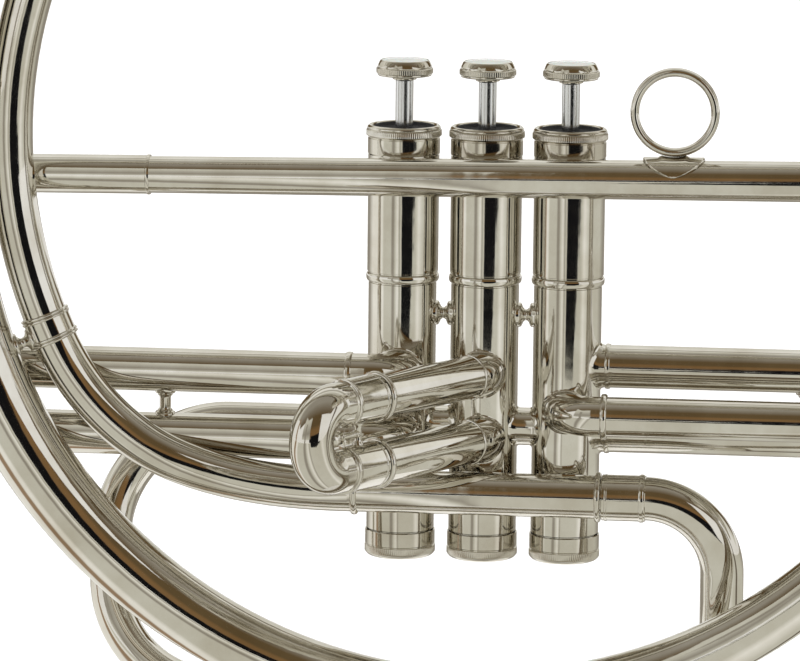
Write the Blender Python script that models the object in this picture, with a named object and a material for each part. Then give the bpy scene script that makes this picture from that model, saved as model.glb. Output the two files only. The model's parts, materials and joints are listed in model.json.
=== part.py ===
"""Marching french horn: a round-wrapped valved horn with a forward bell.

Frame: +X points the way the bell points, +Z up along the valves, and the player's left
side is -Y. The origin is on the second valve's axis, level with the middle of the coil.
All sizes are in metres.
"""
from math import cos, hypot, pi, radians, sin, sqrt, tan

import bmesh
import bpy
from mathutils import Matrix, Quaternion, Vector

MM = 0.001
AXIS_X = Vector((1, 0, 0))
AXIS_Y = Vector((0, 1, 0))
AXIS_Z = Vector((0, 0, 1))

# Fits
GAP = 0.3 * MM
SLIDE_FIT = 0.3 * MM
PISTON_FIT = 0.3 * MM

# Mesh fineness
SLIM_SIDES = 12
LOOP_SIDES = 14
VALVE_SIDES = 16
BELL_SIDES = 24
RING_SIDES = 20
POST_SIDES = 8
PORT_SIDES = 8
SLIM_STEP = 30.0
CROOK_STEP = 22.5
LOOP_STEP = 15.0

# Valve block
VALVE_PITCH = 25.0 * MM
CAP_RIM_Z = 5.4 * MM
CAP_SKIRT_Z = -3.2 * MM
BEAD_Z = -40.5 * MM
BEAD_HEIGHT = 2.6 * MM
SEAM_Z = -118.0 * MM
BOTTOM_Z = -126.0 * MM
UPPER_CASING_R = 10.7 * MM
LOWER_CASING_R = 10.25 * MM
BEAD_R = 11.0 * MM
CASING_BORE_R = 9.2 * MM
THREAD_R = 9.9 * MM
THREAD_LENGTH = 5.0 * MM
TOP_CAP_R = 11.35 * MM
TOP_CAP_MOUTH_R = 9.5 * MM
TOP_CAP_FLOOR_Z = 0.6 * MM
TOP_CAP_FLOOR_THICK = 1.2 * MM
BOTTOM_CAP_R = 10.7 * MM
BOTTOM_CAP_WALL = 0.9 * MM
VENT_R = 2.0 * MM
FELT_THICK = 1.6 * MM

# Pistons, stems and buttons
STROKE = 15.5 * MM
PRESS_MARGIN = 1.0 * MM
PISTON_FOOT_Z = -100.0 * MM
BARREL_FLOOR_Z = -44.0 * MM
BARREL_WALL = 1.0 * MM
STEM_R = 2.67 * MM
STEM_FLANGE_THICK = 1.6 * MM
BUTTON_R = 8.5 * MM
BUTTON_TOP_R = 7.6 * MM
BUTTON_HEIGHT = 5.9 * MM
INLAY_R = 6.7 * MM
INLAY_THICK = 0.9 * MM
GUIDE_Z = -38.0 * MM
GUIDE_THICK = 2.4 * MM
GUIDE_WIDTH = 3.6 * MM
SPRING_CLEARANCE = 1.8 * MM
SPRING_WIRE_R = 0.5 * MM
SPRING_TURNS = 5
PASSAGE_R = 4.0 * MM

# Heights of the valve ports
PORT_UPPER_Z = -68.3 * MM
PORT_LOWER_Z = -88.0 * MM
THIRD_PORT_RISE = 1.8 * MM
CROSSOVER_Z = -85.6 * MM
INLET_Z = -79.0 * MM
OUTLET_Z = -90.0 * MM
ELBOW_RADIUS = 9.0 * MM
ELBOW_STUB = 1.0 * MM

# Plain tubes
TUBE_WALL = 0.5 * MM
TUBE_R = 6.0 * MM
LEADPIPE_R0 = 5.5 * MM
LEADPIPE_R1 = 6.0 * MM
CROSSOVER_R = 5.7 * MM

# Slides
OUTER_LEG_R = 6.5 * MM
LEG_WALL = 0.5 * MM
BOW_R = 6.5 * MM
SLEEVE_R = 6.9 * MM
BOW_BORE_R = 5.3 * MM
END_RING_R = 7.6 * MM
END_RING_WIDTH = 1.8 * MM
FERRULE_RISE = 0.9 * MM
THIN_RING = 2.0 * MM
COLLAR_EDGE = 0.2 * MM
SLEEVE_LIP = 0.4 * MM

# Leadpipe and inlet
LEAD_BEND_Z = -6.9 * MM
LEAD_TILT = 0.72
RECEIVER_END_X = -169.0 * MM
RECEIVER_RING_X = -99.3 * MM
RECEIVER_R = 5.8 * MM
RECEIVER_MOUTH_R = 7.4 * MM
RECEIVER_COLLAR = 9.0 * MM
SHANK_BORE_R = 4.6 * MM
LEAD_BEND_X = 95.5 * MM
INLET_RING_X = 37.5 * MM

# Tuning slide
TUNING_Z = -103.4 * MM
TUNING_LOWER_Y = -9.0 * MM
TUNING_LOWER_Z = -168.0 * MM
TUNING_RING_X = 37.0 * MM
TUNING_SLEEVE = 13.2 * MM
TUNING_BEND_R = 23.0 * MM
TUNING_LEG = 62.0 * MM
TUNING_LOWER_START_X = -76.0 * MM

# Left crook, behind the valves
CROOK_TOP_Y = 18.2 * MM
CROOK_BEND_X = -79.5 * MM
CROOK_BEND_R = 35.0 * MM

# First branch and the coil
BRANCH_START_X = -38.0 * MM
BRANCH_ARC_X = -39.1 * MM
BRANCH_EASE_TURN = 22.2
BRANCH_EASE_R = 129.0 * MM
BRANCH_ARC_R = 71.0 * MM
BRANCH_TURN = 65.2
BRANCH_LEAN_SHARE = 0.6
INNER_COIL_Y = -31.5 * MM
COIL_Y = -36.5 * MM
INNER_COIL_R = 147.5 * MM
COIL_DROP = 10.0 * MM
COIL_SPREAD = 9.2 * MM
TAIL_SPREAD = 19.0 * MM
TAIL_RISE = 17.0 * MM
FERRULE_LENGTH = 9.0 * MM

# Conical taper along the coil, as the tube's outer radius
BRANCH_R0 = 6.5 * MM
BRANCH_R1 = 6.6 * MM
INNER_COIL_END_R = 7.6 * MM
OUTER_COIL_END_R = 11.7 * MM
TAIL_END_R = 17.6 * MM
BRASS_WALL = 0.8 * MM

# Bell
BELL_LENGTH = 267.0 * MM
BELL_MOUTH_R = 135.0 * MM
BELL_POWER = 0.75
BELL_RIM_R = 2.2 * MM
BELL_RINGS = 9

# First slide
FIRST_END_X = -146.0 * MM
FIRST_LEG = 92.0 * MM
FIRST_SLEEVE = 24.0 * MM

# Second slide
SECOND_ANGLE = 57.0
SECOND_LEG_LENGTH = 48.0 * MM
SECOND_SLEEVE = 15.0 * MM
SECOND_BOW_LEAD = 3.5 * MM
SECOND_INNER_LEG = 38.0 * MM
SECOND_KNUCKLE_R = 8.0 * MM
SECOND_SOCKET_DEPTH = 2.5 * MM
STAY_R = 1.15 * MM
KNOB_R = 2.6 * MM
KNOB_STEM_R = 1.0 * MM
KNOB_COLLAR_R = 2.1 * MM
KNOB_COLLAR_THICK = 0.8 * MM

# Third slide
THIRD_END_X = 176.0 * MM
THIRD_LEG = 120.0 * MM
THIRD_SLEEVE = 26.0 * MM

# Finger ring
FINGER_RING_X = 57.0 * MM
FINGER_RING_R = 13.2 * MM
FINGER_RING_BORE = 10.6 * MM
FINGER_RING_WIDTH = 4.0 * MM
SADDLE_LENGTH = 20.0 * MM
SADDLE_THICK = 0.6 * MM
SADDLE_SPAN = 154.0

# Braces
SPOOL_Z = -51.5 * MM
SPOOL_FLANGE_R = 3.7 * MM
SPOOL_WAIST_R = 1.7 * MM
COIL_POST_R = 1.5 * MM
COIL_POST_FLANGE_R = 3.4 * MM
COIL_POST_SETBACK = 2.7 * MM
TOP_POST_R = 2.0 * MM
TOP_POST_FLANGE_R = 3.0 * MM
LEG_POST_R = 1.7 * MM
LEG_POST_FLANGE_R = 3.0 * MM
POST_FLANGE_THICK = 0.7 * MM
FIRST_BRACE_X = -94.6 * MM
THIRD_BRACE_X = 97.0 * MM

# Sizes that follow from the ones above
VALVE_X = {1: -VALVE_PITCH, 2: 0.0, 3: VALVE_PITCH}
LEG_BORE_R = OUTER_LEG_R - LEG_WALL
INNER_LEG_R = LEG_BORE_R - SLIDE_FIT
PISTON_R = CASING_BORE_R - PISTON_FIT
BARREL_R = PISTON_R - BARREL_WALL
CAP_UNDER_Z = TOP_CAP_FLOOR_Z - TOP_CAP_FLOOR_THICK
STEM_FLANGE_R = PISTON_R - BARREL_WALL / 2
STEM_FLANGE_Z = CAP_UNDER_Z - GAP - STEM_FLANGE_THICK
PISTON_TOP_Z = STEM_FLANGE_Z - GAP
FELT_TOP_Z = TOP_CAP_FLOOR_Z + GAP + FELT_THICK
BUTTON_UNDER_Z = FELT_TOP_Z + PRESS_MARGIN + STROKE
BUTTON_TOP_Z = BUTTON_UNDER_Z + BUTTON_HEIGHT
SPRING_R = BARREL_R - SPRING_CLEARANCE - SPRING_WIRE_R
LEAD_Y = -(UPPER_CASING_R + RECEIVER_R + GAP)
FRONT_LEG_Y = -(LOWER_CASING_R + OUTER_LEG_R + GAP)
THIRD_UPPER_Z = PORT_UPPER_Z + THIRD_PORT_RISE
THIRD_LOWER_Z = PORT_LOWER_Z + THIRD_PORT_RISE
PORT_SPACING = PORT_UPPER_Z - PORT_LOWER_Z
OUTER_COIL_R = INNER_COIL_R + COIL_SPREAD
TAIL_COIL_R = OUTER_COIL_R + TAIL_SPREAD
LEAD_HEADING = Vector((cos(radians(LEAD_TILT)), 0, sin(radians(LEAD_TILT))))


def metal(name, colour, roughness, metallic=1.0):
    """A principled material."""
    mat = bpy.data.materials.new(name)
    mat.use_nodes = True
    shader = mat.node_tree.nodes["Principled BSDF"]
    shader.inputs["Base Color"].default_value = (*colour, 1.0)
    shader.inputs["Roughness"].default_value = roughness
    shader.inputs["Metallic"].default_value = metallic
    mat.diffuse_color = (*colour, 1.0)
    return mat


def add_object(name, bm, material, parent=None):
    """Put a bmesh in the scene as one object, with its origin at its parent's."""
    centre = parent.location.copy() if parent else Vector((0, 0, 0))
    bmesh.ops.translate(bm, verts=bm.verts, vec=-centre)
    bmesh.ops.recalc_face_normals(bm, faces=bm.faces)
    mesh = bpy.data.meshes.new(name)
    bm.to_mesh(mesh)
    bm.free()
    mesh.materials.append(material)
    mesh.shade_smooth()
    mesh.set_sharp_from_angle(angle=radians(40))
    obj = bpy.data.objects.new(name, mesh)
    bpy.context.scene.collection.objects.link(obj)
    obj.parent = parent
    return obj


def add_empty(name, place):
    """The joint frame that moving pieces hang from."""
    empty = bpy.data.objects.new(name, None)
    empty.location = place
    bpy.context.scene.collection.objects.link(empty)
    return empty


def combine(target, tool, operation):
    """Join or cut a target with another object, which is then only a tool."""
    tool.hide_render = True
    tool.display_type = "WIRE"
    modifier = target.modifiers.new(operation.lower() + "_" + tool.name, "BOOLEAN")
    modifier.operation = operation
    modifier.solver = "EXACT"
    modifier.object = tool


def cut(target, cutter):
    """Take the cutter's volume out of the target."""
    combine(target, cutter, "DIFFERENCE")


class Route:
    """A centre line of straight runs and bends, kept as points with their headings."""

    def __init__(self, start, heading):
        self.points = [Vector(start)]
        self.headings = [Vector(heading).normalized()]

    def line(self, length, steps=1):
        start = self.points[-1]
        heading = self.headings[-1]
        for i in range(1, steps + 1):
            self.points.append(start + heading * (length * i / steps))
            self.headings.append(heading.copy())
        return self

    def arc(self, angle, radius, axis, step=SLIM_STEP):
        """Turn by an angle in degrees about an axis, right-handed."""
        steps = max(2, round(abs(angle) / step))
        axis = Vector(axis).normalized()
        start = self.points[-1]
        heading = self.headings[-1]
        side = axis.cross(heading).normalized() * (radius if angle > 0 else -radius)
        centre = start + side
        for i in range(1, steps + 1):
            turn = Matrix.Rotation(radians(angle) * i / steps, 3, axis)
            self.points.append(centre + turn @ (start - centre))
            self.headings.append(turn @ heading)
        return self

    def lean(self, offset, share=1.0):
        """Drift sideways by an offset over a share of the route, gently at both ends."""
        reach = self.reach()
        total = reach[-1] * share
        for i, s in enumerate(reach):
            t = min(1.0, s / total)
            self.points[i] += Vector(offset) * (t * t * (3 - 2 * t))
            rate = 6 * t * (1 - t) / total
            self.headings[i] = (self.headings[i] + Vector(offset) * rate).normalized()
        return self

    def reach(self):
        """Distance along the route at each point."""
        out = [0.0]
        for a, b in zip(self.points, self.points[1:]):
            out.append(out[-1] + (b - a).length)
        return out


def section_rings(bm, route, radii, sides, side_ref):
    """Loops of vertices square to the route, without twist."""
    normal = Vector(side_ref)
    previous = route.headings[0]
    rings = []
    for point, heading, radius in zip(route.points, route.headings, radii):
        normal = previous.rotation_difference(heading) @ normal
        normal = (normal - heading * normal.dot(heading)).normalized()
        binormal = heading.cross(normal)
        ring = []
        for k in range(sides):
            a = 2 * pi * (k + 0.5) / sides
            ring.append(bm.verts.new(point + (normal * cos(a) + binormal * sin(a)) * radius))
        rings.append(ring)
        previous = heading
    return rings


def skin(bm, rings):
    """Faces between neighbouring loops."""
    for a, b in zip(rings, rings[1:]):
        n = len(a)
        for k in range(n):
            bm.faces.new((a[k], a[(k + 1) % n], b[(k + 1) % n], b[k]))


def annulus(bm, outer, inner):
    """An end face between an outer loop and a bore with as many sides or half as many."""
    n = len(outer)
    if len(inner) == n:
        for k in range(n):
            bm.faces.new((outer[k], outer[(k + 1) % n], inner[(k + 1) % n], inner[k]))
        return
    m = len(inner)
    for j in range(m):
        here = inner[j]
        ahead = inner[(j + 1) % m]
        a = outer[2 * j]
        b = outer[2 * j + 1]
        c = outer[(2 * j + 2) % n]
        bm.faces.new((a, b, here))
        bm.faces.new((b, c, ahead, here))


def radius_list(route, radius):
    """A radius for each point of a route, from a number, a list or a function of 0 to 1."""
    if callable(radius):
        reach = route.reach()
        return [radius(s / reach[-1]) for s in reach]
    if isinstance(radius, (list, tuple)):
        return list(radius)
    return [radius] * len(route.points)


def add_station(route, sizes, distance):
    """Add a point to a route at a distance from its start, and to its lists of sizes."""
    reach = route.reach()
    i = 0
    while i < len(reach) - 2 and reach[i + 1] < distance:
        i += 1
    span = reach[i + 1] - reach[i]
    t = (distance - reach[i]) / span
    turn = route.headings[i].rotation_difference(route.headings[i + 1])
    heading = Quaternion().slerp(turn, t) @ route.headings[i]
    chord = (route.headings[i] + heading).normalized()
    route.points.insert(i + 1, route.points[i] + chord * (t * span))
    route.headings.insert(i + 1, heading)
    for values in sizes:
        values.insert(i + 1, values[i] + (values[i + 1] - values[i]) * t)


def add_collar(route, radii, bores, length, rise, at_end):
    """Raise a soldered band at one end of a tube."""
    total = route.reach()[-1]
    edge = total - length if at_end else length
    inward = edge - COLLAR_EDGE if at_end else edge + COLLAR_EDGE
    for distance in (edge, inward):
        add_station(route, (radii, bores), distance)
    for i, s in enumerate(route.reach()):
        inside = s > edge - COLLAR_EDGE / 3 if at_end else s < edge + COLLAR_EDGE / 3
        if inside:
            radii[i] += rise


def pipe(name, route, radius, bore, material, sides=SLIM_SIDES, side_ref=AXIS_Y, parent=None,
         full_bore=False, collar_start=None, collar_end=None):
    """A hollow tube along a route, with a band at either end where (length, rise) is given.

    A coarser bore has half as many sides.
    """
    radii = radius_list(route, radius)
    bores = radius_list(route, bore)
    if collar_start:
        add_collar(route, radii, bores, *collar_start, False)
    if collar_end:
        add_collar(route, radii, bores, *collar_end, True)
    bm = bmesh.new()
    outer = section_rings(bm, route, radii, sides, side_ref)
    skin(bm, outer)
    bore_sides = sides if full_bore else sides // 2
    inner = section_rings(bm, route, bores, bore_sides, side_ref)
    skin(bm, inner)
    annulus(bm, outer[0], inner[0])
    annulus(bm, outer[-1], inner[-1])
    return add_object(name, bm, material, parent)


def rod(name, route, radius, material, sides=SLIM_SIDES, side_ref=AXIS_Y, parent=None):
    """A solid bar along a route."""
    bm = bmesh.new()
    rings = section_rings(bm, route, radius_list(route, radius), sides, side_ref)
    skin(bm, rings)
    bm.faces.new(rings[0])
    bm.faces.new(rings[-1])
    return add_object(name, bm, material, parent)


def turn_into(bm, profile, place, axis, sides, side_ref=AXIS_Y, phase=0.5):
    """Revolve (radius, height) pairs about an axis. A closed profile makes a ring."""
    axis = Vector(axis).normalized()
    normal = Vector(side_ref)
    normal = (normal - axis * normal.dot(axis)).normalized()
    binormal = axis.cross(normal)
    place = Vector(place)
    loops = []
    for radius, height in profile:
        if radius < 1e-9:
            loops.append([bm.verts.new(place + axis * height)])
            continue
        loop = []
        for k in range(sides):
            a = 2 * pi * (k + phase) / sides
            side = normal * cos(a) + binormal * sin(a)
            loop.append(bm.verts.new(place + axis * height + side * radius))
        loops.append(loop)
    pairs = list(zip(loops, loops[1:]))
    if len(loops[0]) > 1 and len(loops[-1]) > 1:
        pairs.append((loops[-1], loops[0]))
    for a, b in pairs:
        for k in range(sides):
            n = (k + 1) % sides
            corners = [a[k % len(a)], a[n % len(a)], b[n % len(b)], b[k % len(b)]]
            unique = list(dict.fromkeys(corners))
            if len(unique) > 2:
                bm.faces.new(unique)


def turned(name, profile, material, place=(0, 0, 0), axis=AXIS_Z, sides=VALVE_SIDES, parent=None):
    """A lathe-turned piece."""
    bm = bmesh.new()
    turn_into(bm, profile, place, axis, sides)
    return add_object(name, bm, material, parent)


def bar_between(name, start, end, radius, sides):
    """A plain bar that other pieces are cut with."""
    span = Vector(end) - Vector(start)
    route = Route(start, span).line(span.length)
    side_ref = AXIS_Z if abs(route.headings[0].z) < 0.9 else AXIS_Y
    material = bpy.data.materials.get("cutter") or metal("cutter", (0.8, 0.1, 0.1), 0.5, 0.0)
    return rod(name, route, radius, material, sides, side_ref)


def box_into(bm, low, high):
    """A block between two corners."""
    size = Vector(high) - Vector(low)
    middle = (Vector(high) + Vector(low)) / 2
    made = bmesh.ops.create_cube(bm, size=1.0)
    bmesh.ops.scale(bm, verts=made["verts"], vec=size)
    bmesh.ops.translate(bm, verts=made["verts"], vec=middle)


def make_materials():
    return {
        "nickel": metal("nickel_plate", (0.72, 0.69, 0.64), 0.12),
        "steel": metal("polished_steel", (0.62, 0.65, 0.68), 0.2),
        "brass": metal("raw_brass", (0.72, 0.55, 0.28), 0.3),
        "monel": metal("piston_alloy", (0.55, 0.54, 0.52), 0.35),
        "inlay": metal("pale_inlay", (0.85, 0.86, 0.84), 0.25, 0.1),
        "felt": metal("black_felt", (0.02, 0.02, 0.02), 0.95, 0.0),
    }


def casing_ports(number):
    """The direction, height and bore of each opening of one casing."""
    link = CROSSOVER_R - TUBE_WALL
    front = -AXIS_Y
    if number == 1:
        return [(AXIS_X, CROSSOVER_Z, link), (front, PORT_UPPER_Z, LEG_BORE_R),
                (front, PORT_LOWER_Z, LEG_BORE_R), (AXIS_Y, OUTLET_Z, TUBE_R - TUBE_WALL)]
    if number == 2:
        return [(AXIS_X, CROSSOVER_Z, link), (-AXIS_X, CROSSOVER_Z, link),
                (front, PORT_UPPER_Z, LEG_BORE_R), (front, PORT_LOWER_Z, LEG_BORE_R)]
    return [(-AXIS_X, CROSSOVER_Z, link), (front, INLET_Z, TUBE_R - TUBE_WALL),
            (AXIS_X, THIRD_UPPER_Z, LEG_BORE_R), (AXIS_X, THIRD_LOWER_Z, LEG_BORE_R)]


def piston_passages(number):
    """Pairs of (direction, height) joined inside one piston, at its raised position."""
    front = -AXIS_Y
    if number == 1:
        return [((AXIS_X, CROSSOVER_Z), (AXIS_Y, OUTLET_Z)),
                ((AXIS_X, CROSSOVER_Z + STROKE), (front, PORT_UPPER_Z + STROKE)),
                ((AXIS_Y, OUTLET_Z + STROKE), (front, PORT_LOWER_Z + STROKE))]
    if number == 2:
        return [((AXIS_X, CROSSOVER_Z), (-AXIS_X, CROSSOVER_Z)),
                ((AXIS_X, CROSSOVER_Z + STROKE), (front, PORT_UPPER_Z + STROKE)),
                ((-AXIS_X, CROSSOVER_Z + STROKE), (front, PORT_LOWER_Z + STROKE))]
    return [((front, INLET_Z), (-AXIS_X, CROSSOVER_Z)),
            ((front, INLET_Z + STROKE), (AXIS_X, THIRD_UPPER_Z + STROKE)),
            ((-AXIS_X, CROSSOVER_Z + STROKE), (AXIS_X, THIRD_LOWER_Z + STROKE))]


def make_casing(number, mats):
    """One casing tube with its bead, its threaded ends and its ports."""
    x = VALVE_X[number]
    thread_top = CAP_UNDER_Z - GAP
    thread_low = SEAM_Z - THREAD_LENGTH
    profile = [
        (CASING_BORE_R, thread_low), (THREAD_R, thread_low), (THREAD_R, SEAM_Z + GAP),
        (LOWER_CASING_R, SEAM_Z + GAP), (LOWER_CASING_R, BEAD_Z - BEAD_HEIGHT / 2),
        (BEAD_R, BEAD_Z - BEAD_HEIGHT / 4), (BEAD_R, BEAD_Z + BEAD_HEIGHT / 4),
        (UPPER_CASING_R, BEAD_Z + BEAD_HEIGHT / 2), (UPPER_CASING_R, CAP_SKIRT_Z - GAP),
        (THREAD_R, CAP_SKIRT_Z - GAP), (THREAD_R, thread_top), (CASING_BORE_R, thread_top)]
    casing = turned("casing_%d" % number, profile, mats["nickel"], (x, 0, 0))
    for i, (heading, z, radius) in enumerate(casing_ports(number)):
        start = Vector((x, 0, z)) + heading * (CASING_BORE_R * 0.6)
        end = Vector((x, 0, z)) + heading * (UPPER_CASING_R * 1.2)
        cut(casing, bar_between("port_%d_%d" % (number, i), start, end, radius, PORT_SIDES))


def make_top_cap(number, mats):
    """The cup-shaped upper cap that the stem passes through."""
    floor = TOP_CAP_FLOOR_Z
    hole = STEM_R + 2 * GAP
    knurl = CAP_RIM_Z - 3.0 * MM
    step = 0.5 * MM
    profile = [
        (THREAD_R + GAP, CAP_SKIRT_Z), (TOP_CAP_R - step, CAP_SKIRT_Z),
        (TOP_CAP_R - step, knurl), (TOP_CAP_R, knurl + step), (TOP_CAP_R, CAP_RIM_Z - 2 * step),
        (TOP_CAP_R - 2 * step, CAP_RIM_Z), (TOP_CAP_MOUTH_R, CAP_RIM_Z - step),
        (TOP_CAP_MOUTH_R, floor), (hole, floor), (hole, CAP_UNDER_Z),
        (THREAD_R + GAP, CAP_UNDER_Z)]
    turned("top_cap_%d" % number, profile, mats["nickel"], (VALVE_X[number], 0, 0))


def make_bottom_cap(number, mats):
    """The lower cap with its vent hole."""
    inner = THREAD_R + GAP
    floor = SEAM_Z - THREAD_LENGTH - GAP
    round_edge = 1.6 * MM
    profile = [
        (inner, SEAM_Z), (BOTTOM_CAP_R, SEAM_Z), (BOTTOM_CAP_R, BOTTOM_Z + 1.5 * round_edge),
        (BOTTOM_CAP_R - 0.35 * round_edge, BOTTOM_Z + 0.45 * round_edge),
        (BOTTOM_CAP_R - 1.4 * round_edge, BOTTOM_Z), (VENT_R, BOTTOM_Z),
        (VENT_R, BOTTOM_Z + BOTTOM_CAP_WALL), (inner - 2 * round_edge, BOTTOM_Z + BOTTOM_CAP_WALL),
        (inner, floor)]
    turned("bottom_cap_%d" % number, profile, mats["nickel"], (VALVE_X[number], 0, 0))


def make_piston(number, mats, frame):
    """The piston: a ported body with the spring barrel above it."""
    x = VALVE_X[number]
    profile = [
        (0.0, PISTON_FOOT_Z), (PISTON_R, PISTON_FOOT_Z), (PISTON_R, PISTON_TOP_Z),
        (BARREL_R, PISTON_TOP_Z), (BARREL_R, BARREL_FLOOR_Z), (0.0, BARREL_FLOOR_Z)]
    piston = turned("piston_%d" % number, profile, mats["monel"], (x, 0, 0), parent=frame)
    for i, (a, b) in enumerate(piston_passages(number)):
        start = Vector((x, 0, a[1])) + a[0] * (PISTON_R - 0.6 * PASSAGE_R)
        end = Vector((x, 0, b[1])) + b[0] * (PISTON_R - 0.6 * PASSAGE_R)
        reach = (end - start).normalized() * (2 * PISTON_R)
        cut(piston, bar_between("passage_%d_%d" % (number, i), start - reach, end + reach,
                                PASSAGE_R, PORT_SIDES))
    bm = bmesh.new()
    width = GUIDE_WIDTH / 2 + 2 * GAP
    low = GUIDE_Z - GUIDE_THICK / 2 - 3 * GAP
    high = GUIDE_Z + GUIDE_THICK / 2 + STROKE + 2 * GAP
    box_into(bm, (x - width, -2 * PISTON_R, low), (x + width, 2 * PISTON_R, high))
    cut(piston, add_object("window_%d" % number, bm, mats["monel"]))


def make_button(number, mats, frame):
    """The finger button on its stem, whose flange closes the piston's barrel, and its inlay."""
    place = (VALVE_X[number], 0, 0)
    under = BUTTON_UNDER_Z
    top = BUTTON_TOP_Z
    boss_r = 3.6 * MM
    edge = 0.5 * MM
    dish_z = under + 0.9 * MM
    belt_low = under + 1.7 * MM
    belt_high = under + 3.1 * MM
    seat_z = top - INLAY_THICK
    seat_r = INLAY_R + GAP
    profile = [
        (0.0, STEM_FLANGE_Z), (STEM_FLANGE_R, STEM_FLANGE_Z),
        (STEM_FLANGE_R, STEM_FLANGE_Z + STEM_FLANGE_THICK),
        (STEM_R, STEM_FLANGE_Z + STEM_FLANGE_THICK), (STEM_R, under), (boss_r, under),
        (BUTTON_R - 2 * edge, dish_z), (BUTTON_R, belt_low), (BUTTON_R, belt_high),
        (BUTTON_TOP_R, top - edge), (BUTTON_TOP_R - edge, top),
        (seat_r, top), (seat_r, seat_z), (0.0, seat_z)]
    turned("button_%d" % number, profile, mats["nickel"], place, parent=frame)
    low = seat_z + GAP
    inlay = [(0.0, low), (INLAY_R, low), (INLAY_R, top), (0.0, top)]
    turned("button_inlay_%d" % number, inlay, mats["inlay"], place, parent=frame)


def make_spring(number, mats):
    """The return spring between the guide and the stem's flange."""
    x = VALVE_X[number]
    low = GUIDE_Z + GUIDE_THICK / 2 + GAP + SPRING_WIRE_R
    high = STEM_FLANGE_Z - GAP - SPRING_WIRE_R
    per_turn = 8
    count = SPRING_TURNS * per_turn
    route = Route((x + SPRING_R, 0, low), AXIS_Y)
    route.points = []
    route.headings = []
    pitch = (high - low) / SPRING_TURNS
    for i in range(count + 1):
        a = 2 * pi * i / per_turn
        place = Vector((x + SPRING_R * cos(a), SPRING_R * sin(a), low + pitch * i / per_turn))
        slope = Vector((-SPRING_R * sin(a), SPRING_R * cos(a), pitch / (2 * pi)))
        route.points.append(place)
        route.headings.append(slope.normalized())
    least = pitch - 2 * SPRING_WIRE_R
    print("spring %d: least gap between turns %.2f mm" % (number, least / MM))
    rod("spring_%d" % number, route, SPRING_WIRE_R, mats["steel"], 4, AXIS_X)


def make_guide(number, mats):
    """The guide bar that keeps a piston from turning, seated in the casing."""
    x = VALVE_X[number]
    half = GUIDE_THICK / 2
    reach = CASING_BORE_R - GAP
    bm = bmesh.new()
    box_into(bm, (x - GUIDE_WIDTH / 2, -reach, GUIDE_Z - half),
             (x + GUIDE_WIDTH / 2, reach, GUIDE_Z + half))
    add_object("valve_guide_%d" % number, bm, mats["brass"])


def make_felt(number, mats):
    """The felt ring in the cap's cup."""
    low = FELT_TOP_Z - FELT_THICK
    high = FELT_TOP_Z
    inner = STEM_R + 3 * GAP
    outer = TOP_CAP_MOUTH_R - GAP
    profile = [(inner, low), (outer, low), (outer, high), (inner, high)]
    turned("cap_felt_%d" % number, profile, mats["felt"], (VALVE_X[number], 0, 0))


def make_valves(mats):
    """The valve block with its three pistons."""
    for number in VALVE_X:
        make_casing(number, mats)
        make_top_cap(number, mats)
        make_bottom_cap(number, mats)
        frame = add_empty("valve_frame_%d" % number, (VALVE_X[number], 0, 0))
        make_piston(number, mats, frame)
        make_button(number, mats, frame)
        make_guide(number, mats)
        make_felt(number, mats)
        make_spring(number, mats)
    for number in (1, 2):
        make_crossover(number, mats)
        make_casing_brace(number, mats)


def saddle_cut(tube, number):
    """Shape a tube's end to the round wall of a casing."""
    x = VALVE_X[number]
    low = Vector((x, 0, SEAM_Z))
    high = Vector((x, 0, BEAD_Z - BEAD_HEIGHT))
    bar = bpy.data.objects.get("casing_wall_%d" % number)
    if bar is None:
        bar = bar_between("casing_wall_%d" % number, low, high, LOWER_CASING_R + GAP,
                          VALVE_SIDES)
    cut(tube, bar)


def make_casing_brace(number, mats):
    """The turned spool that joins two neighbouring casings."""
    middle = (VALVE_X[number] + VALVE_X[number + 1]) / 2
    half = VALVE_PITCH / 2 - LOWER_CASING_R - GAP
    lip = 0.25 * half
    profile = [(0.0, -half), (SPOOL_FLANGE_R, -half), (SPOOL_FLANGE_R, lip - half),
               (SPOOL_WAIST_R, 2 * lip - half), (SPOOL_WAIST_R, half - 2 * lip),
               (SPOOL_FLANGE_R, half - lip), (SPOOL_FLANGE_R, half), (0.0, half)]
    turned("casing_brace_%d" % number, profile, mats["nickel"], (middle, 0, SPOOL_Z), AXIS_X,
           SLIM_SIDES)


def make_crossover(number, mats):
    """The short tube that joins two neighbouring casings."""
    start = Vector((VALVE_X[number] + 0.75 * LOWER_CASING_R, 0, CROSSOVER_Z))
    length = VALVE_PITCH - 1.5 * LOWER_CASING_R
    route = Route(start, AXIS_X).line(length)
    tube = pipe("crossover_%d" % number, route, CROSSOVER_R, CROSSOVER_R - TUBE_WALL,
                mats["nickel"])
    saddle_cut(tube, number)
    saddle_cut(tube, number + 1)


def lead_point(x):
    """The leadpipe's axis, which falls a little towards the mouthpiece."""
    return Vector((x, LEAD_Y, LEAD_BEND_Z + (x - LEAD_BEND_X) * tan(radians(LEAD_TILT))))


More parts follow.
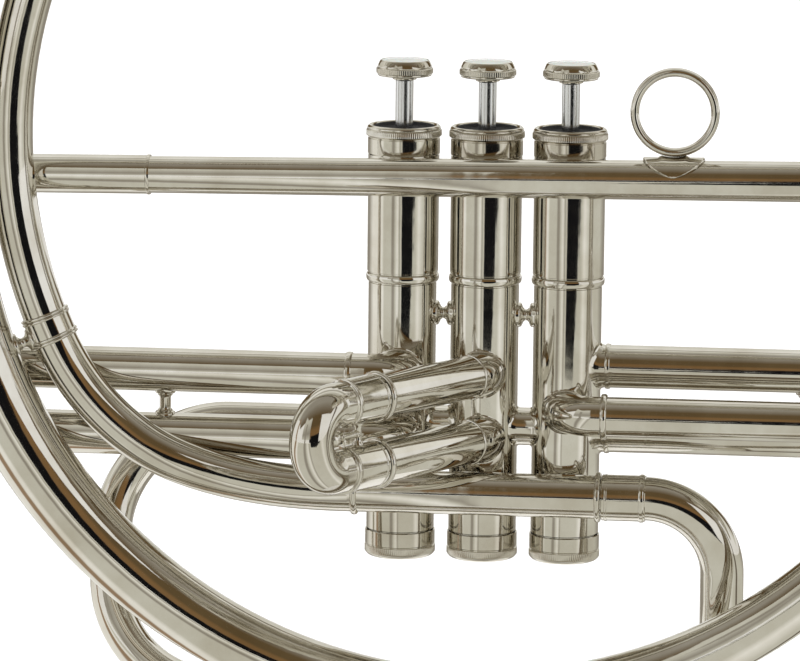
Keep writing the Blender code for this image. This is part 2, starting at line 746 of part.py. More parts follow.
def make_leadpipe(mats):
    """Receiver, leadpipe, the bend at the right and the elbow into the third valve."""
    nickel = mats["nickel"]
    wall = TUBE_WALL
    start = lead_point(RECEIVER_END_X)
    length = (lead_point(RECEIVER_RING_X) - start).length
    route = Route(start, LEAD_HEADING).line(RECEIVER_COLLAR).line(2 * SLEEVE_LIP)
    route.line(length - RECEIVER_COLLAR - 2 * SLEEVE_LIP)
    bores = [SHANK_BORE_R + wall, SHANK_BORE_R + 0.6 * wall, SHANK_BORE_R, SHANK_BORE_R - wall]
    pipe("receiver", route, [RECEIVER_MOUTH_R, RECEIVER_MOUTH_R, RECEIVER_R, RECEIVER_R], bores,
         nickel)
    start = lead_point(RECEIVER_RING_X) + LEAD_HEADING * GAP
    route = Route(start, LEAD_HEADING).line((lead_point(LEAD_BEND_X) - start).length)
    pipe("leadpipe", route, [LEADPIPE_R0, LEADPIPE_R1], [LEADPIPE_R0 - 2 * wall, LEADPIPE_R1 - wall],
         nickel)
    tilt = radians(LEAD_TILT)
    bend = (LEAD_BEND_Z - INLET_Z) / (1 + cos(tilt))
    elbow_start = INLET_RING_X + THIN_RING / 2
    route = Route(lead_point(LEAD_BEND_X) + LEAD_HEADING * GAP, LEAD_HEADING)
    route.arc(180 + LEAD_TILT, bend, AXIS_Y, CROOK_STEP)
    route.line(route.points[-1].x - elbow_start - GAP)
    pipe("lead_crook", route, TUBE_R, TUBE_R - wall, nickel,
         collar_start=(FERRULE_LENGTH, FERRULE_RISE))
    elbow_x = VALVE_X[3] + ELBOW_RADIUS
    route = Route((elbow_start, LEAD_Y, INLET_Z), -AXIS_X).line(elbow_start - elbow_x)
    route.arc(-90, ELBOW_RADIUS, AXIS_Z).line(ELBOW_STUB)
    elbow = pipe("inlet_elbow", route, TUBE_R, TUBE_R - wall, nickel, side_ref=AXIS_Z,
                 collar_start=(THIN_RING, FERRULE_RISE))
    saddle_cut(elbow, 3)


def saddle_grid(bm, radius, frame):
    """One curved, oval-ended face of the saddle, as rows of vertices."""
    rows = 6
    columns = 4
    grid = []
    for i in range(rows + 1):
        v = -1 + 2 * i / rows
        angle = radians(SADDLE_SPAN / 2) * v
        half_length = SADDLE_LENGTH / 2 * sqrt(max(0.04, 1 - v * v))
        row = []
        for j in range(columns + 1):
            place = Vector((half_length * (-1 + 2 * j / columns), radius * sin(angle),
                            radius * cos(angle)))
            row.append(bm.verts.new(frame @ place))
        grid.append(row)
    for a, b in zip(grid, grid[1:]):
        for j in range(columns):
            bm.faces.new((a[j], a[j + 1], b[j + 1], b[j]))
    right = [row[-1] for row in grid[1:-1]]
    left = [row[0] for row in grid[1:-1]]
    return grid[0] + right + grid[-1][::-1] + left[::-1]


def make_finger_ring(mats):
    """The little-finger ring and the saddle that it stands on."""
    seat = lead_point(FINGER_RING_X)
    inner = LEADPIPE_R1 + GAP
    outer = inner + SADDLE_THICK
    half = FINGER_RING_WIDTH / 2
    crown = (FINGER_RING_R + FINGER_RING_BORE) / 2
    profile = [(FINGER_RING_BORE, -half), (crown, -half), (FINGER_RING_R, -half / 2),
               (FINGER_RING_R, half / 2), (crown, half), (FINGER_RING_BORE, half)]
    bm = bmesh.new()
    turn_into(bm, profile, seat + AXIS_Z * (outer + GAP + FINGER_RING_R), AXIS_Y, RING_SIDES,
              AXIS_X)
    add_object("finger_ring", bm, mats["nickel"])
    frame = Matrix.Translation(seat) @ Matrix.Rotation(-radians(LEAD_TILT), 4, AXIS_Y)
    bm = bmesh.new()
    low = saddle_grid(bm, inner, frame)
    high = saddle_grid(bm, outer, frame)
    for k in range(len(low)):
        n = (k + 1) % len(low)
        bm.faces.new((low[k], low[n], high[n], high[k]))
    add_object("ring_saddle", bm, mats["nickel"])


def outer_leg(name, route, material, side_ref=AXIS_Y, collar_start=None):
    """A slide's fixed tube with the raised ring at its mouth."""
    return pipe(name, route, OUTER_LEG_R, LEG_BORE_R, material, SLIM_SIDES, side_ref,
                full_bore=True, collar_start=collar_start,
                collar_end=(END_RING_WIDTH, END_RING_R - OUTER_LEG_R))


def slide_bow(name, mouth, across, heading, bend, sleeve, leg, material, frame, side_ref=AXIS_Y,
              lead=0.0, step=SLIM_STEP):
    """A slide's moving part: inner leg, sleeve, bow, sleeve and inner leg in one run.

    It goes in at one mouth, and across leads from there to the other.
    """
    heading = Vector(heading).normalized()
    across = Vector(across)
    turn_axis = heading.cross(across).normalized()
    entry = [INNER_LEG_R, INNER_LEG_R, SLEEVE_R, SLEEVE_R]
    route = Route(Vector(mouth) + heading * (GAP - leg), heading)
    route.line(leg).line(SLEEVE_LIP).line(sleeve - SLEEVE_LIP)
    route.line(SLEEVE_LIP + lead)
    route.arc(90, bend, turn_axis, step)
    straight = across.length - 2 * bend
    if straight > SLEEVE_LIP:
        route.line(straight)
    route.arc(90, bend, turn_axis, step)
    if lead > SLEEVE_LIP:
        route.line(lead)
    bow_points = len(route.points) - len(entry)
    route.line(SLEEVE_LIP).line(sleeve - SLEEVE_LIP).line(SLEEVE_LIP).line(leg)
    radii = entry + [BOW_R] * bow_points + entry[::-1]
    leg_bores = [INNER_LEG_R - LEG_WALL] * len(entry)
    bores = leg_bores + [BOW_BORE_R] * bow_points + leg_bores
    pipe(name, route, radii, bores, material, SLIM_SIDES, side_ref, frame)


def make_first_slide(mats):
    """First slide: two front ports of the first valve, legs running left."""
    y = FRONT_LEG_Y
    for side, z in {"upper": PORT_UPPER_Z, "lower": PORT_LOWER_Z}.items():
        start = Vector((VALVE_X[1], y + ELBOW_RADIUS + ELBOW_STUB, z))
        route = Route(start, -AXIS_Y).line(ELBOW_STUB).arc(-90, ELBOW_RADIUS, AXIS_Z)
        route.line(route.points[-1].x - FIRST_END_X)
        leg = outer_leg("first_leg_%s" % side, route, mats["nickel"], AXIS_Z)
        saddle_cut(leg, 1)
    upper = Vector((FIRST_END_X, y, PORT_UPPER_Z))
    across = -AXIS_Z * PORT_SPACING
    frame = add_empty("first_slide_frame", upper + across / 2)
    slide_bow("first_bow", upper, across, -AXIS_X, PORT_SPACING / 2, FIRST_SLEEVE, FIRST_LEG,
              mats["nickel"], frame)


def second_heading():
    """The way the second slide points: left and towards the player's left side."""
    a = radians(SECOND_ANGLE)
    return Vector((-cos(a), -sin(a), 0))


def make_second_slide(mats):
    """Second slide: legs that point left and outwards from the second valve."""
    mouths = []
    for side, z in {"upper": PORT_UPPER_Z, "lower": PORT_LOWER_Z}.items():
        start = Vector((VALVE_X[2], SECOND_SOCKET_DEPTH - LOWER_CASING_R, z))
        route = Route(start, -AXIS_Y).line(0.6 * SECOND_SOCKET_DEPTH)
        route.arc(SECOND_ANGLE - 90, SECOND_KNUCKLE_R, AXIS_Z, 12)
        route.line(SECOND_LEG_LENGTH)
        mouths.append(route.points[-1].copy())
        leg = outer_leg("second_leg_%s" % side, route, mats["nickel"], AXIS_Z)
        saddle_cut(leg, 2)
    heading = second_heading()
    across = -AXIS_Z * PORT_SPACING
    bend = PORT_SPACING / 2
    frame = add_empty("second_slide_frame", mouths[0] + across / 2)
    slide_bow("second_bow", mouths[0], across, heading, bend, SECOND_SLEEVE, SECOND_INNER_LEG,
              mats["nickel"], frame, AXIS_Z, SECOND_BOW_LEAD, CROOK_STEP)
    middle = frame.location + heading * (SECOND_SLEEVE / 2)
    half = bend - SLEEVE_R - GAP
    route = Route(middle - AXIS_Z * half, AXIS_Z).line(2 * half)
    stay = rod("second_stay", route, STAY_R, mats["nickel"], POST_SIDES, heading, frame)
    ball = SECOND_SLEEVE / 2 + SECOND_BOW_LEAD + bend - BOW_R - GAP - KNOB_R
    collar = ball - KNOB_R - KNOB_COLLAR_THICK / 2
    profile = [(0.0, 0.0), (KNOB_STEM_R, 0.0), (KNOB_STEM_R, collar), (KNOB_COLLAR_R, collar),
               (KNOB_COLLAR_R, collar + KNOB_COLLAR_THICK)]
    for angle in (-50, -20, 10, 40, 70):
        a = radians(angle)
        profile.append((KNOB_R * cos(a), ball + KNOB_R * sin(a)))
    profile.append((0.0, ball + KNOB_R))
    knob = turned("knob_and_stem", profile, mats["nickel"], middle, heading, POST_SIDES)
    combine(stay, knob, "UNION")


def make_third_slide(mats):
    """Third slide: two side ports of the third valve, legs running right."""
    for side, z in {"upper": THIRD_UPPER_Z, "lower": THIRD_LOWER_Z}.items():
        start = Vector((VALVE_X[3] + 0.7 * LOWER_CASING_R, 0, z))
        route = Route(start, AXIS_X).line(THIRD_END_X - start.x)
        leg = outer_leg("third_leg_%s" % side, route, mats["nickel"])
        saddle_cut(leg, 3)
    upper = Vector((THIRD_END_X, 0, THIRD_UPPER_Z))
    across = -AXIS_Z * PORT_SPACING
    frame = add_empty("third_slide_frame", upper + across / 2)
    slide_bow("third_bow", upper, across, AXIS_X, PORT_SPACING / 2, THIRD_SLEEVE, THIRD_LEG,
              mats["nickel"], frame)


def make_tuning_slide(mats):
    """The main tuning slide under the valves."""
    upper = Vector((TUNING_RING_X, FRONT_LEG_Y, TUNING_Z))
    lower = Vector((TUNING_RING_X, TUNING_LOWER_Y, TUNING_LOWER_Z))
    start = Vector((BRANCH_START_X, upper.y, upper.z))
    route = Route(start, AXIS_X).line(upper.x - start.x)
    outer_leg("tuning_leg_upper", route, mats["nickel"], collar_start=(THIN_RING, FERRULE_RISE))
    start = Vector((TUNING_LOWER_START_X, lower.y, lower.z))
    route = Route(start, AXIS_X).line(lower.x - start.x)
    outer_leg("tuning_leg_lower", route, mats["nickel"],
              collar_start=(FERRULE_LENGTH, FERRULE_RISE))
    frame = add_empty("tuning_slide_frame", (upper + lower) / 2)
    slide_bow("tuning_bow", upper, lower - upper, AXIS_X, TUNING_BEND_R, TUNING_SLEEVE,
              TUNING_LEG, mats["nickel"], frame, step=CROOK_STEP)


def make_left_crook(mats):
    """From the first valve's rear port, left and down to the lower tuning leg."""
    top = Vector((CROOK_BEND_X, CROOK_TOP_Y, OUTLET_Z))
    bottom = Vector((CROOK_BEND_X, TUNING_LOWER_Y, TUNING_LOWER_Z))
    across = bottom - top
    turn_axis = (-AXIS_X).cross(across).normalized()
    start = Vector((VALVE_X[1], CROOK_TOP_Y - ELBOW_RADIUS - ELBOW_STUB, OUTLET_Z))
    route = Route(start, AXIS_Y).line(ELBOW_STUB).arc(90, ELBOW_RADIUS, AXIS_Z)
    route.line(route.points[-1].x - CROOK_BEND_X)
    route.arc(90, CROOK_BEND_R, turn_axis, CROOK_STEP)
    route.line(across.length - 2 * CROOK_BEND_R)
    route.arc(90, CROOK_BEND_R, turn_axis, CROOK_STEP)
    route.line(TUNING_LOWER_START_X - GAP - route.points[-1].x)
    crook = pipe("left_crook", route, TUBE_R, TUBE_R - TUBE_WALL, mats["nickel"],
                 side_ref=AXIS_Z)
    saddle_cut(crook, 1)


def taper(start, end):
    """A radius that grows by equal ratios along a tube."""
    return lambda t: start * (end / start) ** t


def walled(radius, wall):
    """The bore that leaves a wall inside a radius function."""
    return lambda t: radius(t) - wall


def coil_routes():
    """The coil's four tubes, from the tuning slide's end to the bell's throat."""
    branch = Route((BRANCH_START_X - GAP, FRONT_LEG_Y, TUNING_Z), -AXIS_X)
    branch.line(BRANCH_START_X - GAP - BRANCH_ARC_X)
    branch.arc(BRANCH_EASE_TURN, BRANCH_EASE_R, AXIS_Y, LOOP_STEP)
    branch.arc(BRANCH_TURN - BRANCH_EASE_TURN, BRANCH_ARC_R, AXIS_Y, LOOP_STEP)
    branch.lean((0, INNER_COIL_Y - FRONT_LEG_Y, 0), BRANCH_LEAN_SHARE)
    inner = Route(branch.points[-1] + branch.headings[-1] * GAP, branch.headings[-1])
    inner.arc(270 - BRANCH_TURN, INNER_COIL_R, AXIS_Y, LOOP_STEP)
    inner.line(COIL_DROP)
    inner.lean((0, COIL_Y - INNER_COIL_Y, 0))
    outer = Route(inner.points[-1] + inner.headings[-1] * GAP, inner.headings[-1])
    outer.arc(180, OUTER_COIL_R, AXIS_Y, LOOP_STEP)
    outer.line(TAIL_RISE)
    tail = Route(outer.points[-1] + outer.headings[-1] * GAP, outer.headings[-1])
    tail.arc(90, TAIL_COIL_R, AXIS_Y, LOOP_STEP)
    return branch, inner, outer, tail


def make_coil(mats):
    """The conical coil, from the first branch round to the bell's tail."""
    branch, inner, outer, tail = coil_routes()
    runs = {"first_branch": (branch, taper(BRANCH_R0, BRANCH_R1), SLIM_SIDES),
            "inner_coil": (inner, taper(BRANCH_R1, INNER_COIL_END_R), SLIM_SIDES),
            "outer_coil": (outer, taper(INNER_COIL_END_R, OUTER_COIL_END_R), LOOP_SIDES),
            "bell_tail": (tail, taper(OUTER_COIL_END_R, TAIL_END_R), LOOP_SIDES)}
    for name, (route, radius, sides) in runs.items():
        band = None if name == "first_branch" else (FERRULE_LENGTH, FERRULE_RISE)
        pipe(name, route, radius, walled(radius, BRASS_WALL), mats["nickel"], sides,
             collar_start=band)
    return runs


def bell_radius(x):
    """Outer radius of the flare at a distance from its throat."""
    ratio = (BELL_MOUTH_R / TAIL_END_R) ** (1 / BELL_POWER)
    reach = BELL_LENGTH * ratio / (ratio - 1)
    return TAIL_END_R * (reach / (reach - x)) ** BELL_POWER


def make_bell(mats, tail):
    """The flare with its rolled rim, and the ring where it meets the tail."""
    throat = tail.points[-1] + AXIS_X * GAP
    stations = []
    for i in range(BELL_RINGS + 1):
        t = i / BELL_RINGS
        stations.append(BELL_LENGTH * (1 - (1 - t) ** 1.8))
    outer = [(bell_radius(x), x) for x in stations]
    inner = []
    for i, (r, x) in enumerate(outer):
        before = outer[max(0, i - 1)]
        after = outer[min(BELL_RINGS, i + 1)]
        run = hypot(after[0] - before[0], after[1] - before[1])
        along_r = (after[0] - before[0]) / run
        along_x = (after[1] - before[1]) / run
        inner.append((r - along_x * BRASS_WALL, x + along_r * BRASS_WALL))
    inner[0] = (outer[0][0] - BRASS_WALL, 0.0)
    lip_r, lip_x = outer[-1]
    rim = []
    for angle in (-80, -10, 60, 130):
        a = radians(angle)
        rim.append((lip_r + BELL_RIM_R * (1 + cos(a)) * 0.5, lip_x + BELL_RIM_R * sin(a) * 0.8))
    band_r = TAIL_END_R + FERRULE_RISE
    band = [(band_r, 0.0), (band_r, FERRULE_LENGTH), (TAIL_END_R, FERRULE_LENGTH + COLLAR_EDGE)]
    profile = band + outer[1:-1] + rim + inner[:-1][::-1]
    turned("bell_flare", profile, mats["nickel"], throat, AXIS_X, BELL_SIDES)


def post_between(name, a, radius_a, b, radius_b, material, flange, waist):
    """A flanged post that fills the space between two tubes' walls."""
    heading = (b - a).normalized()
    start = a + heading * (radius_a + GAP)
    length = (b - a).length - radius_a - radius_b - 2 * GAP
    thick = min(POST_FLANGE_THICK, length / 5)
    profile = [(0.0, 0.0), (flange, 0.0), (flange, thick), (waist, 2 * thick),
               (waist, length - 2 * thick), (flange, length - thick), (flange, length),
               (0.0, length)]
    turned(name, profile, material, start, heading, POST_SIDES)


def nearest(run, place):
    """The point of a tube's centre line nearest to a place, and the tube's radius there."""
    route, radius, _ = run
    reach = route.reach()
    best = None
    for i, (a, b) in enumerate(zip(route.points, route.points[1:])):
        span = b - a
        t = max(0.0, min(1.0, (place - a).dot(span) / span.length_squared))
        point = a + span * t
        if best is None or (point - place).length < (best[0] - place).length:
            share = (reach[i] + span.length * t) / reach[-1]
            best = (point, radius(share))
    return best


def make_leg_brace(name, x, y, low_z, high_z, mats):
    """The post between a slide's two fixed legs."""
    post_between(name, Vector((x, y, low_z)), OUTER_LEG_R, Vector((x, y, high_z)), OUTER_LEG_R,
                 mats["nickel"], LEG_POST_FLANGE_R, LEG_POST_R)


def make_braces(mats, runs):
    """Posts that hold the coil's turns and the slide legs apart."""
    nickel = mats["nickel"]
    make_leg_brace("first_leg_brace", FIRST_BRACE_X, FRONT_LEG_Y, PORT_LOWER_Z, PORT_UPPER_Z,
                   mats)
    make_leg_brace("third_leg_brace", THIRD_BRACE_X, 0.0, THIRD_LOWER_Z, THIRD_UPPER_Z, mats)
    inner = runs["inner_coil"][0]
    ring = inner.points[0] + inner.headings[0] * COIL_POST_SETBACK
    low_out, low_r = nearest(runs["outer_coil"], ring)
    post_between("coil_brace_left", ring, BRANCH_R1 + FERRULE_RISE, low_out, low_r, nickel,
                 COIL_POST_FLANGE_R, COIL_POST_R)
    top_out = runs["bell_tail"][0].points[-2]
    top_in, _ = nearest(runs["inner_coil"], top_out)
    between = (top_in + top_out) / 2
    top_out, top_r = nearest(runs["bell_tail"], between)
    top_in, top_in_r = nearest(runs["inner_coil"], between)
    post_between("coil_brace_top", top_in, top_in_r, top_out, top_r, nickel, TOP_POST_FLANGE_R,
                 TOP_POST_R)


def build():
    for obj in list(bpy.data.objects):
        bpy.data.objects.remove(obj, do_unlink=True)
    mats = make_materials()
    make_valves(mats)
    make_leadpipe(mats)
    make_finger_ring(mats)
    make_first_slide(mats)
    make_second_slide(mats)
    make_third_slide(mats)
    make_tuning_slide(mats)
    make_left_crook(mats)
    runs = make_coil(mats)
    make_bell(mats, runs["bell_tail"][0])
    make_braces(mats, runs)


build()
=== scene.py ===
"""Looks, camera and studio for the marching french horn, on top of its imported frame.

Frame: +X points the way the bell points, +Z up along the valves, and the player's left
side is -Y. All sizes are in metres.
"""

import json
from bisect import bisect_right
from math import copysign, cos, degrees, hypot, pi, radians, sin, sqrt, tan

import bmesh
import bpy
from mathutils import Matrix, Quaternion, Vector, noise


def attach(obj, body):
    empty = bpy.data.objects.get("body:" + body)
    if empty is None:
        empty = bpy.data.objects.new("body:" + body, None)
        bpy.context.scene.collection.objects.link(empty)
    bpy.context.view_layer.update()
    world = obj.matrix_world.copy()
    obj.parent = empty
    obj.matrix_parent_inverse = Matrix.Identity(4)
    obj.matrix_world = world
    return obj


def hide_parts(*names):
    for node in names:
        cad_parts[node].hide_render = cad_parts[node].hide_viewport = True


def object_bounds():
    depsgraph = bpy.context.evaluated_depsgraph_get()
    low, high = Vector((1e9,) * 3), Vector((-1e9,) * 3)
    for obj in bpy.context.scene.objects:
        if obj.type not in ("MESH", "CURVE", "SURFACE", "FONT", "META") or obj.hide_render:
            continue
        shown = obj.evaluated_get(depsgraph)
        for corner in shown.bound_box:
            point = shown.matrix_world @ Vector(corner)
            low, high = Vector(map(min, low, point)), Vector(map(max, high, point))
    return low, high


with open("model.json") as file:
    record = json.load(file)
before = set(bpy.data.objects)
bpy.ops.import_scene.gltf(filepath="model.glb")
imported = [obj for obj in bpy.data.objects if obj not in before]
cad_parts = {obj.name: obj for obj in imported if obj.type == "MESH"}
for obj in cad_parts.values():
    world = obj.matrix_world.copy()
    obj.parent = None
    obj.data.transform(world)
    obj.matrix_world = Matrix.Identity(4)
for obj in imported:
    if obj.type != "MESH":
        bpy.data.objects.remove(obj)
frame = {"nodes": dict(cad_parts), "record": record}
cad_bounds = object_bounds()

MM = 0.001
AXIS_X = Vector((1, 0, 0))
AXIS_Y = Vector((0, 1, 0))
AXIS_Z = Vector((0, 0, 1))

# Photograph
PHOTO_WIDTH = 800
PHOTO_HEIGHT = 661
FOCAL_PIXELS = 5200
PIXELS_PER_METRE = 3337
SENSOR = 36.0
CLIP_END = 60
CAMERA_AZIMUTH = radians(5.8)
CAMERA_ELEVATION = radians(9.4)
CAMERA_ROLL = radians(-0.6)
ORIGIN_PIXEL = (487, 144)

# Mesh fineness
TUBE_SIDES = 56
LATHE_SIDES = 112
BELL_SIDES = 160
COIL_SIDES = 72
POST_SIDES = 32
ARC_STEP = 3.0
COIL_STEP = 2.0

# Fits
GAP = 0.3 * MM
SLIDE_FIT = 0.3 * MM
PISTON_FIT = 0.3 * MM

# Valve block
VALVE_PITCH = 25.0 * MM
VALVE_X = {1: -VALVE_PITCH, 2: 0.0, 3: VALVE_PITCH}
CAP_RIM_Z = 5.4 * MM
CAP_SKIRT_Z = -3.2 * MM
BEAD_Z = -40.5 * MM
BEAD_HEIGHT = 2.6 * MM
SEAM_Z = -118.0 * MM
BOTTOM_Z = -126.0 * MM
UPPER_CASING_R = 10.7 * MM
LOWER_CASING_R = 10.25 * MM
BEAD_R = 11.0 * MM
CASING_BORE_R = 9.2 * MM
THREAD_R = 9.9 * MM
THREAD_LENGTH = 5.0 * MM
TOP_CAP_R = 11.35 * MM
TOP_CAP_MOUTH_R = 9.5 * MM
TOP_CAP_FLOOR_Z = 0.6 * MM
TOP_CAP_FLOOR_THICK = 1.2 * MM
BOTTOM_CAP_R = 10.7 * MM
BOTTOM_CAP_WALL = 0.9 * MM
VENT_R = 2.0 * MM
FELT_THICK = 1.6 * MM
EDGE = 0.12 * MM
GROOVE = 0.22 * MM
KNURL_DEPTH = 0.11 * MM
CAP_UNDER_Z = TOP_CAP_FLOOR_Z - TOP_CAP_FLOOR_THICK

# Stems and buttons
STROKE = 15.5 * MM
PRESS_MARGIN = 1.0 * MM
STEM_R = 2.67 * MM
STEM_FLANGE_THICK = 1.6 * MM
BUTTON_R = 8.5 * MM
BUTTON_HEIGHT = 5.9 * MM
INLAY_R = 7.0 * MM
INLAY_THICK = 0.9 * MM
BARREL_WALL = 1.0 * MM
BUTTON_BOSS_R = 3.6 * MM
STEM_FLANGE_R = CASING_BORE_R - PISTON_FIT - BARREL_WALL / 2
STEM_FLANGE_Z = CAP_UNDER_Z - GAP - STEM_FLANGE_THICK
FELT_TOP_Z = TOP_CAP_FLOOR_Z + GAP + FELT_THICK
BUTTON_UNDER_Z = FELT_TOP_Z + PRESS_MARGIN + STROKE
BUTTON_TOP_Z = BUTTON_UNDER_Z + BUTTON_HEIGHT

# Heights of the valve ports
PORT_UPPER_Z = -68.3 * MM
PORT_LOWER_Z = -88.0 * MM
THIRD_PORT_RISE = 1.8 * MM
CROSSOVER_Z = -85.6 * MM
INLET_Z = -79.0 * MM
OUTLET_Z = -90.0 * MM
ELBOW_RADIUS = 9.0 * MM
ELBOW_STUB = 1.0 * MM
ELBOW_CLEAR = 6.5 * MM
PORT_SPACING = PORT_UPPER_Z - PORT_LOWER_Z
THIRD_UPPER_Z = PORT_UPPER_Z + THIRD_PORT_RISE
THIRD_LOWER_Z = PORT_LOWER_Z + THIRD_PORT_RISE

# Plain tubes and slides
TUBE_WALL = 0.5 * MM
TUBE_R = 6.0 * MM
CROSSOVER_R = 5.7 * MM
OUTER_LEG_R = 6.5 * MM
LEG_BORE_R = OUTER_LEG_R - TUBE_WALL
INNER_LEG_R = LEG_BORE_R - SLIDE_FIT
BOW_R = 6.5 * MM
SLEEVE_R = 6.9 * MM
BOW_BORE_R = 5.3 * MM
END_RING_R = 7.6 * MM
END_RING_WIDTH = 1.8 * MM
FERRULE_RISE = 0.9 * MM
FERRULE_LENGTH = 9.0 * MM
THIN_RING = 2.0 * MM

# Leadpipe and inlet
LEAD_BEND_Z = -6.9 * MM
LEAD_TILT = radians(0.72)
RECEIVER_END_X = -169.0 * MM
RECEIVER_RING_X = -99.3 * MM
RECEIVER_R = 5.8 * MM
RECEIVER_MOUTH_R = 7.4 * MM
RECEIVER_COLLAR = 9.0 * MM
SHANK_BORE_R = 4.6 * MM
LEAD_BEND_X = 95.5 * MM
INLET_RING_X = 37.5 * MM
LEADPIPE_R0 = 5.5 * MM
LEADPIPE_R1 = 6.0 * MM
LEAD_Y = -(UPPER_CASING_R + RECEIVER_R + GAP)
LEAD_HEADING = Vector((cos(LEAD_TILT), 0, sin(LEAD_TILT)))
FRONT_LEG_Y = -(LOWER_CASING_R + OUTER_LEG_R + GAP)

# Tuning slide
TUNING_Z = -103.4 * MM
TUNING_LOWER_Y = -9.0 * MM
TUNING_LOWER_Z = -168.0 * MM
TUNING_RING_X = 37.0 * MM
TUNING_SLEEVE = 13.2 * MM
TUNING_BEND_R = 23.0 * MM
TUNING_LEG = 62.0 * MM
TUNING_LOWER_START_X = -76.0 * MM

# Left crook
CROOK_TOP_Y = 18.2 * MM
CROOK_BEND_X = -79.5 * MM
CROOK_BEND_R = 35.0 * MM

# First branch and the coil
BRANCH_START_X = -38.0 * MM
BRANCH_ARC_X = -39.1 * MM
BRANCH_EASE_TURN = 22.2
BRANCH_EASE_R = 129.0 * MM
BRANCH_ARC_R = 71.0 * MM
BRANCH_TURN = 65.2
BRANCH_LEAN_SHARE = 0.6
INNER_COIL_Y = -31.5 * MM
COIL_Y = -36.5 * MM
INNER_COIL_R = 147.5 * MM
COIL_DROP = 10.0 * MM
COIL_SPREAD = 9.2 * MM
TAIL_SPREAD = 19.0 * MM
TAIL_RISE = 17.0 * MM
OUTER_COIL_R = INNER_COIL_R + COIL_SPREAD
TAIL_COIL_R = OUTER_COIL_R + TAIL_SPREAD
BRANCH_R0 = 6.5 * MM
BRANCH_R1 = 6.6 * MM
INNER_COIL_END_R = 7.6 * MM
OUTER_COIL_END_R = 11.7 * MM
TAIL_END_R = 17.6 * MM
BRASS_WALL = 0.8 * MM

# Bell
BELL_LENGTH = 267.0 * MM
BELL_MOUTH_R = 135.0 * MM
BELL_POWER = 0.75
BELL_RIM_R = 2.2 * MM

# Valve slides. A leg has left its casing's wall at its CLEAR distance, and a COLLAR is a
# ring's distance, width and rise
FIRST_CLEAR = 7.0 * MM
FIRST_END_X = -146.0 * MM
FIRST_RING_X = -39.0 * MM
FIRST_RING_RISE = 0.45 * MM
FIRST_LEG = 92.0 * MM
FIRST_SLEEVE = 24.0 * MM
SECOND_CLEAR = 8.0 * MM
SECOND_COLLAR = (9.0 * MM, 1.2 * MM, 0.3 * MM)
SECOND_ANGLE = radians(57.0)
SECOND_LEG_LENGTH = 48.0 * MM
SECOND_SLEEVE = 15.0 * MM
SECOND_BOW_LEAD = 3.5 * MM
SECOND_INNER_LEG = 38.0 * MM
SECOND_KNUCKLE_R = 8.0 * MM
SECOND_SOCKET_DEPTH = 2.5 * MM
STAY_R = 1.15 * MM
KNOB_R = 2.6 * MM
KNOB_STEM_R = 1.0 * MM
KNOB_COLLAR_R = 2.1 * MM
THIRD_CLEAR = 4.4 * MM
THIRD_COLLAR = (5.3 * MM, 1.5 * MM, 0.4 * MM)
THIRD_END_X = 176.0 * MM
THIRD_LEG = 120.0 * MM
THIRD_SLEEVE = 26.0 * MM

# Finger ring
FINGER_RING_X = 57.0 * MM
FINGER_RING_R = 13.2 * MM
FINGER_RING_BORE = 10.6 * MM
FINGER_RING_WIDTH = 4.0 * MM
SADDLE_LENGTH = 18.4 * MM
SADDLE_THICK = 0.6 * MM
SADDLE_SPAN = radians(154.0)

# Braces
SPOOL_Z = -51.5 * MM
SPOOL_FLANGE_R = 3.7 * MM
SPOOL_WAIST_R = 1.7 * MM
COIL_POST_R = 1.5 * MM
COIL_POST_FLANGE_R = 3.4 * MM
COIL_POST_SETBACK = 2.7 * MM
TOP_POST_SHARE = 5 / 6
TOP_POST_R = 2.0 * MM
TOP_POST_FLANGE_R = 3.0 * MM
LEG_POST_R = 1.7 * MM
LEG_POST_FLANGE_R = 3.0 * MM
POST_FLANGE_THICK = 0.7 * MM
FIRST_BRACE_X = -94.6 * MM
THIRD_BRACE_X = 97.0 * MM

# Solder, as (rise over the tube, height over the wall) from the wall outwards
SOLDER = [(1.0 * MM, -0.05 * MM), (0.62 * MM, 0.12 * MM), (0.3 * MM, 0.35 * MM),
          (0.1 * MM, 0.7 * MM), (0.0, 1.15 * MM)]


def body_of_node():
    """The body that each CAD node belongs to."""
    bodies = frame["record"]["behaviour"]["bodies"]
    return {node: body for body, nodes in bodies.items() for node in nodes}


BODY = body_of_node()


# Materials

def feed(tree, socket, value):
    """Link a socket to another node's output, or set it to a plain value."""
    if isinstance(value, bpy.types.NodeSocket):
        tree.links.new(value, socket)
    else:
        socket.default_value = value


def set_inputs(tree, node, **inputs):
    """Feed a node's inputs by name."""
    for name, value in inputs.items():
        feed(tree, node.inputs[name.replace("_", " ")], value)
    return node


def node_in(tree, kind, **inputs):
    """Add a shader node and feed its inputs by name."""
    return set_inputs(tree, tree.nodes.new(kind), **inputs)


def maths(tree, operation, first, second):
    """What an operation makes of two outputs or numbers."""
    node = tree.nodes.new("ShaderNodeMath")
    node.operation = operation
    feed(tree, node.inputs[0], first)
    feed(tree, node.inputs[1], second)
    return node.outputs[0]


def noise_value(tree, coords, scale, detail, roughness=0.5):
    """A noise texture's value."""
    return node_in(tree, "ShaderNodeTexNoise", Vector=coords, Scale=scale, Detail=detail,
                   Roughness=roughness).outputs["Fac"]


def spread(tree, value, low, high, start=0.3, end=0.7):
    """Map a value's usual range onto another."""
    return node_in(tree, "ShaderNodeMapRange", Value=value, From_Min=start, From_Max=end,
                   To_Min=low, To_Max=high).outputs["Result"]


def mixed(tree, factor, first, second):
    """A colour between two others."""
    node = tree.nodes.new("ShaderNodeMix")
    node.data_type = "RGBA"
    for i, value in ((0, factor), (6, (*first, 1)), (7, (*second, 1))):
        feed(tree, node.inputs[i], value)
    return node.outputs[2]


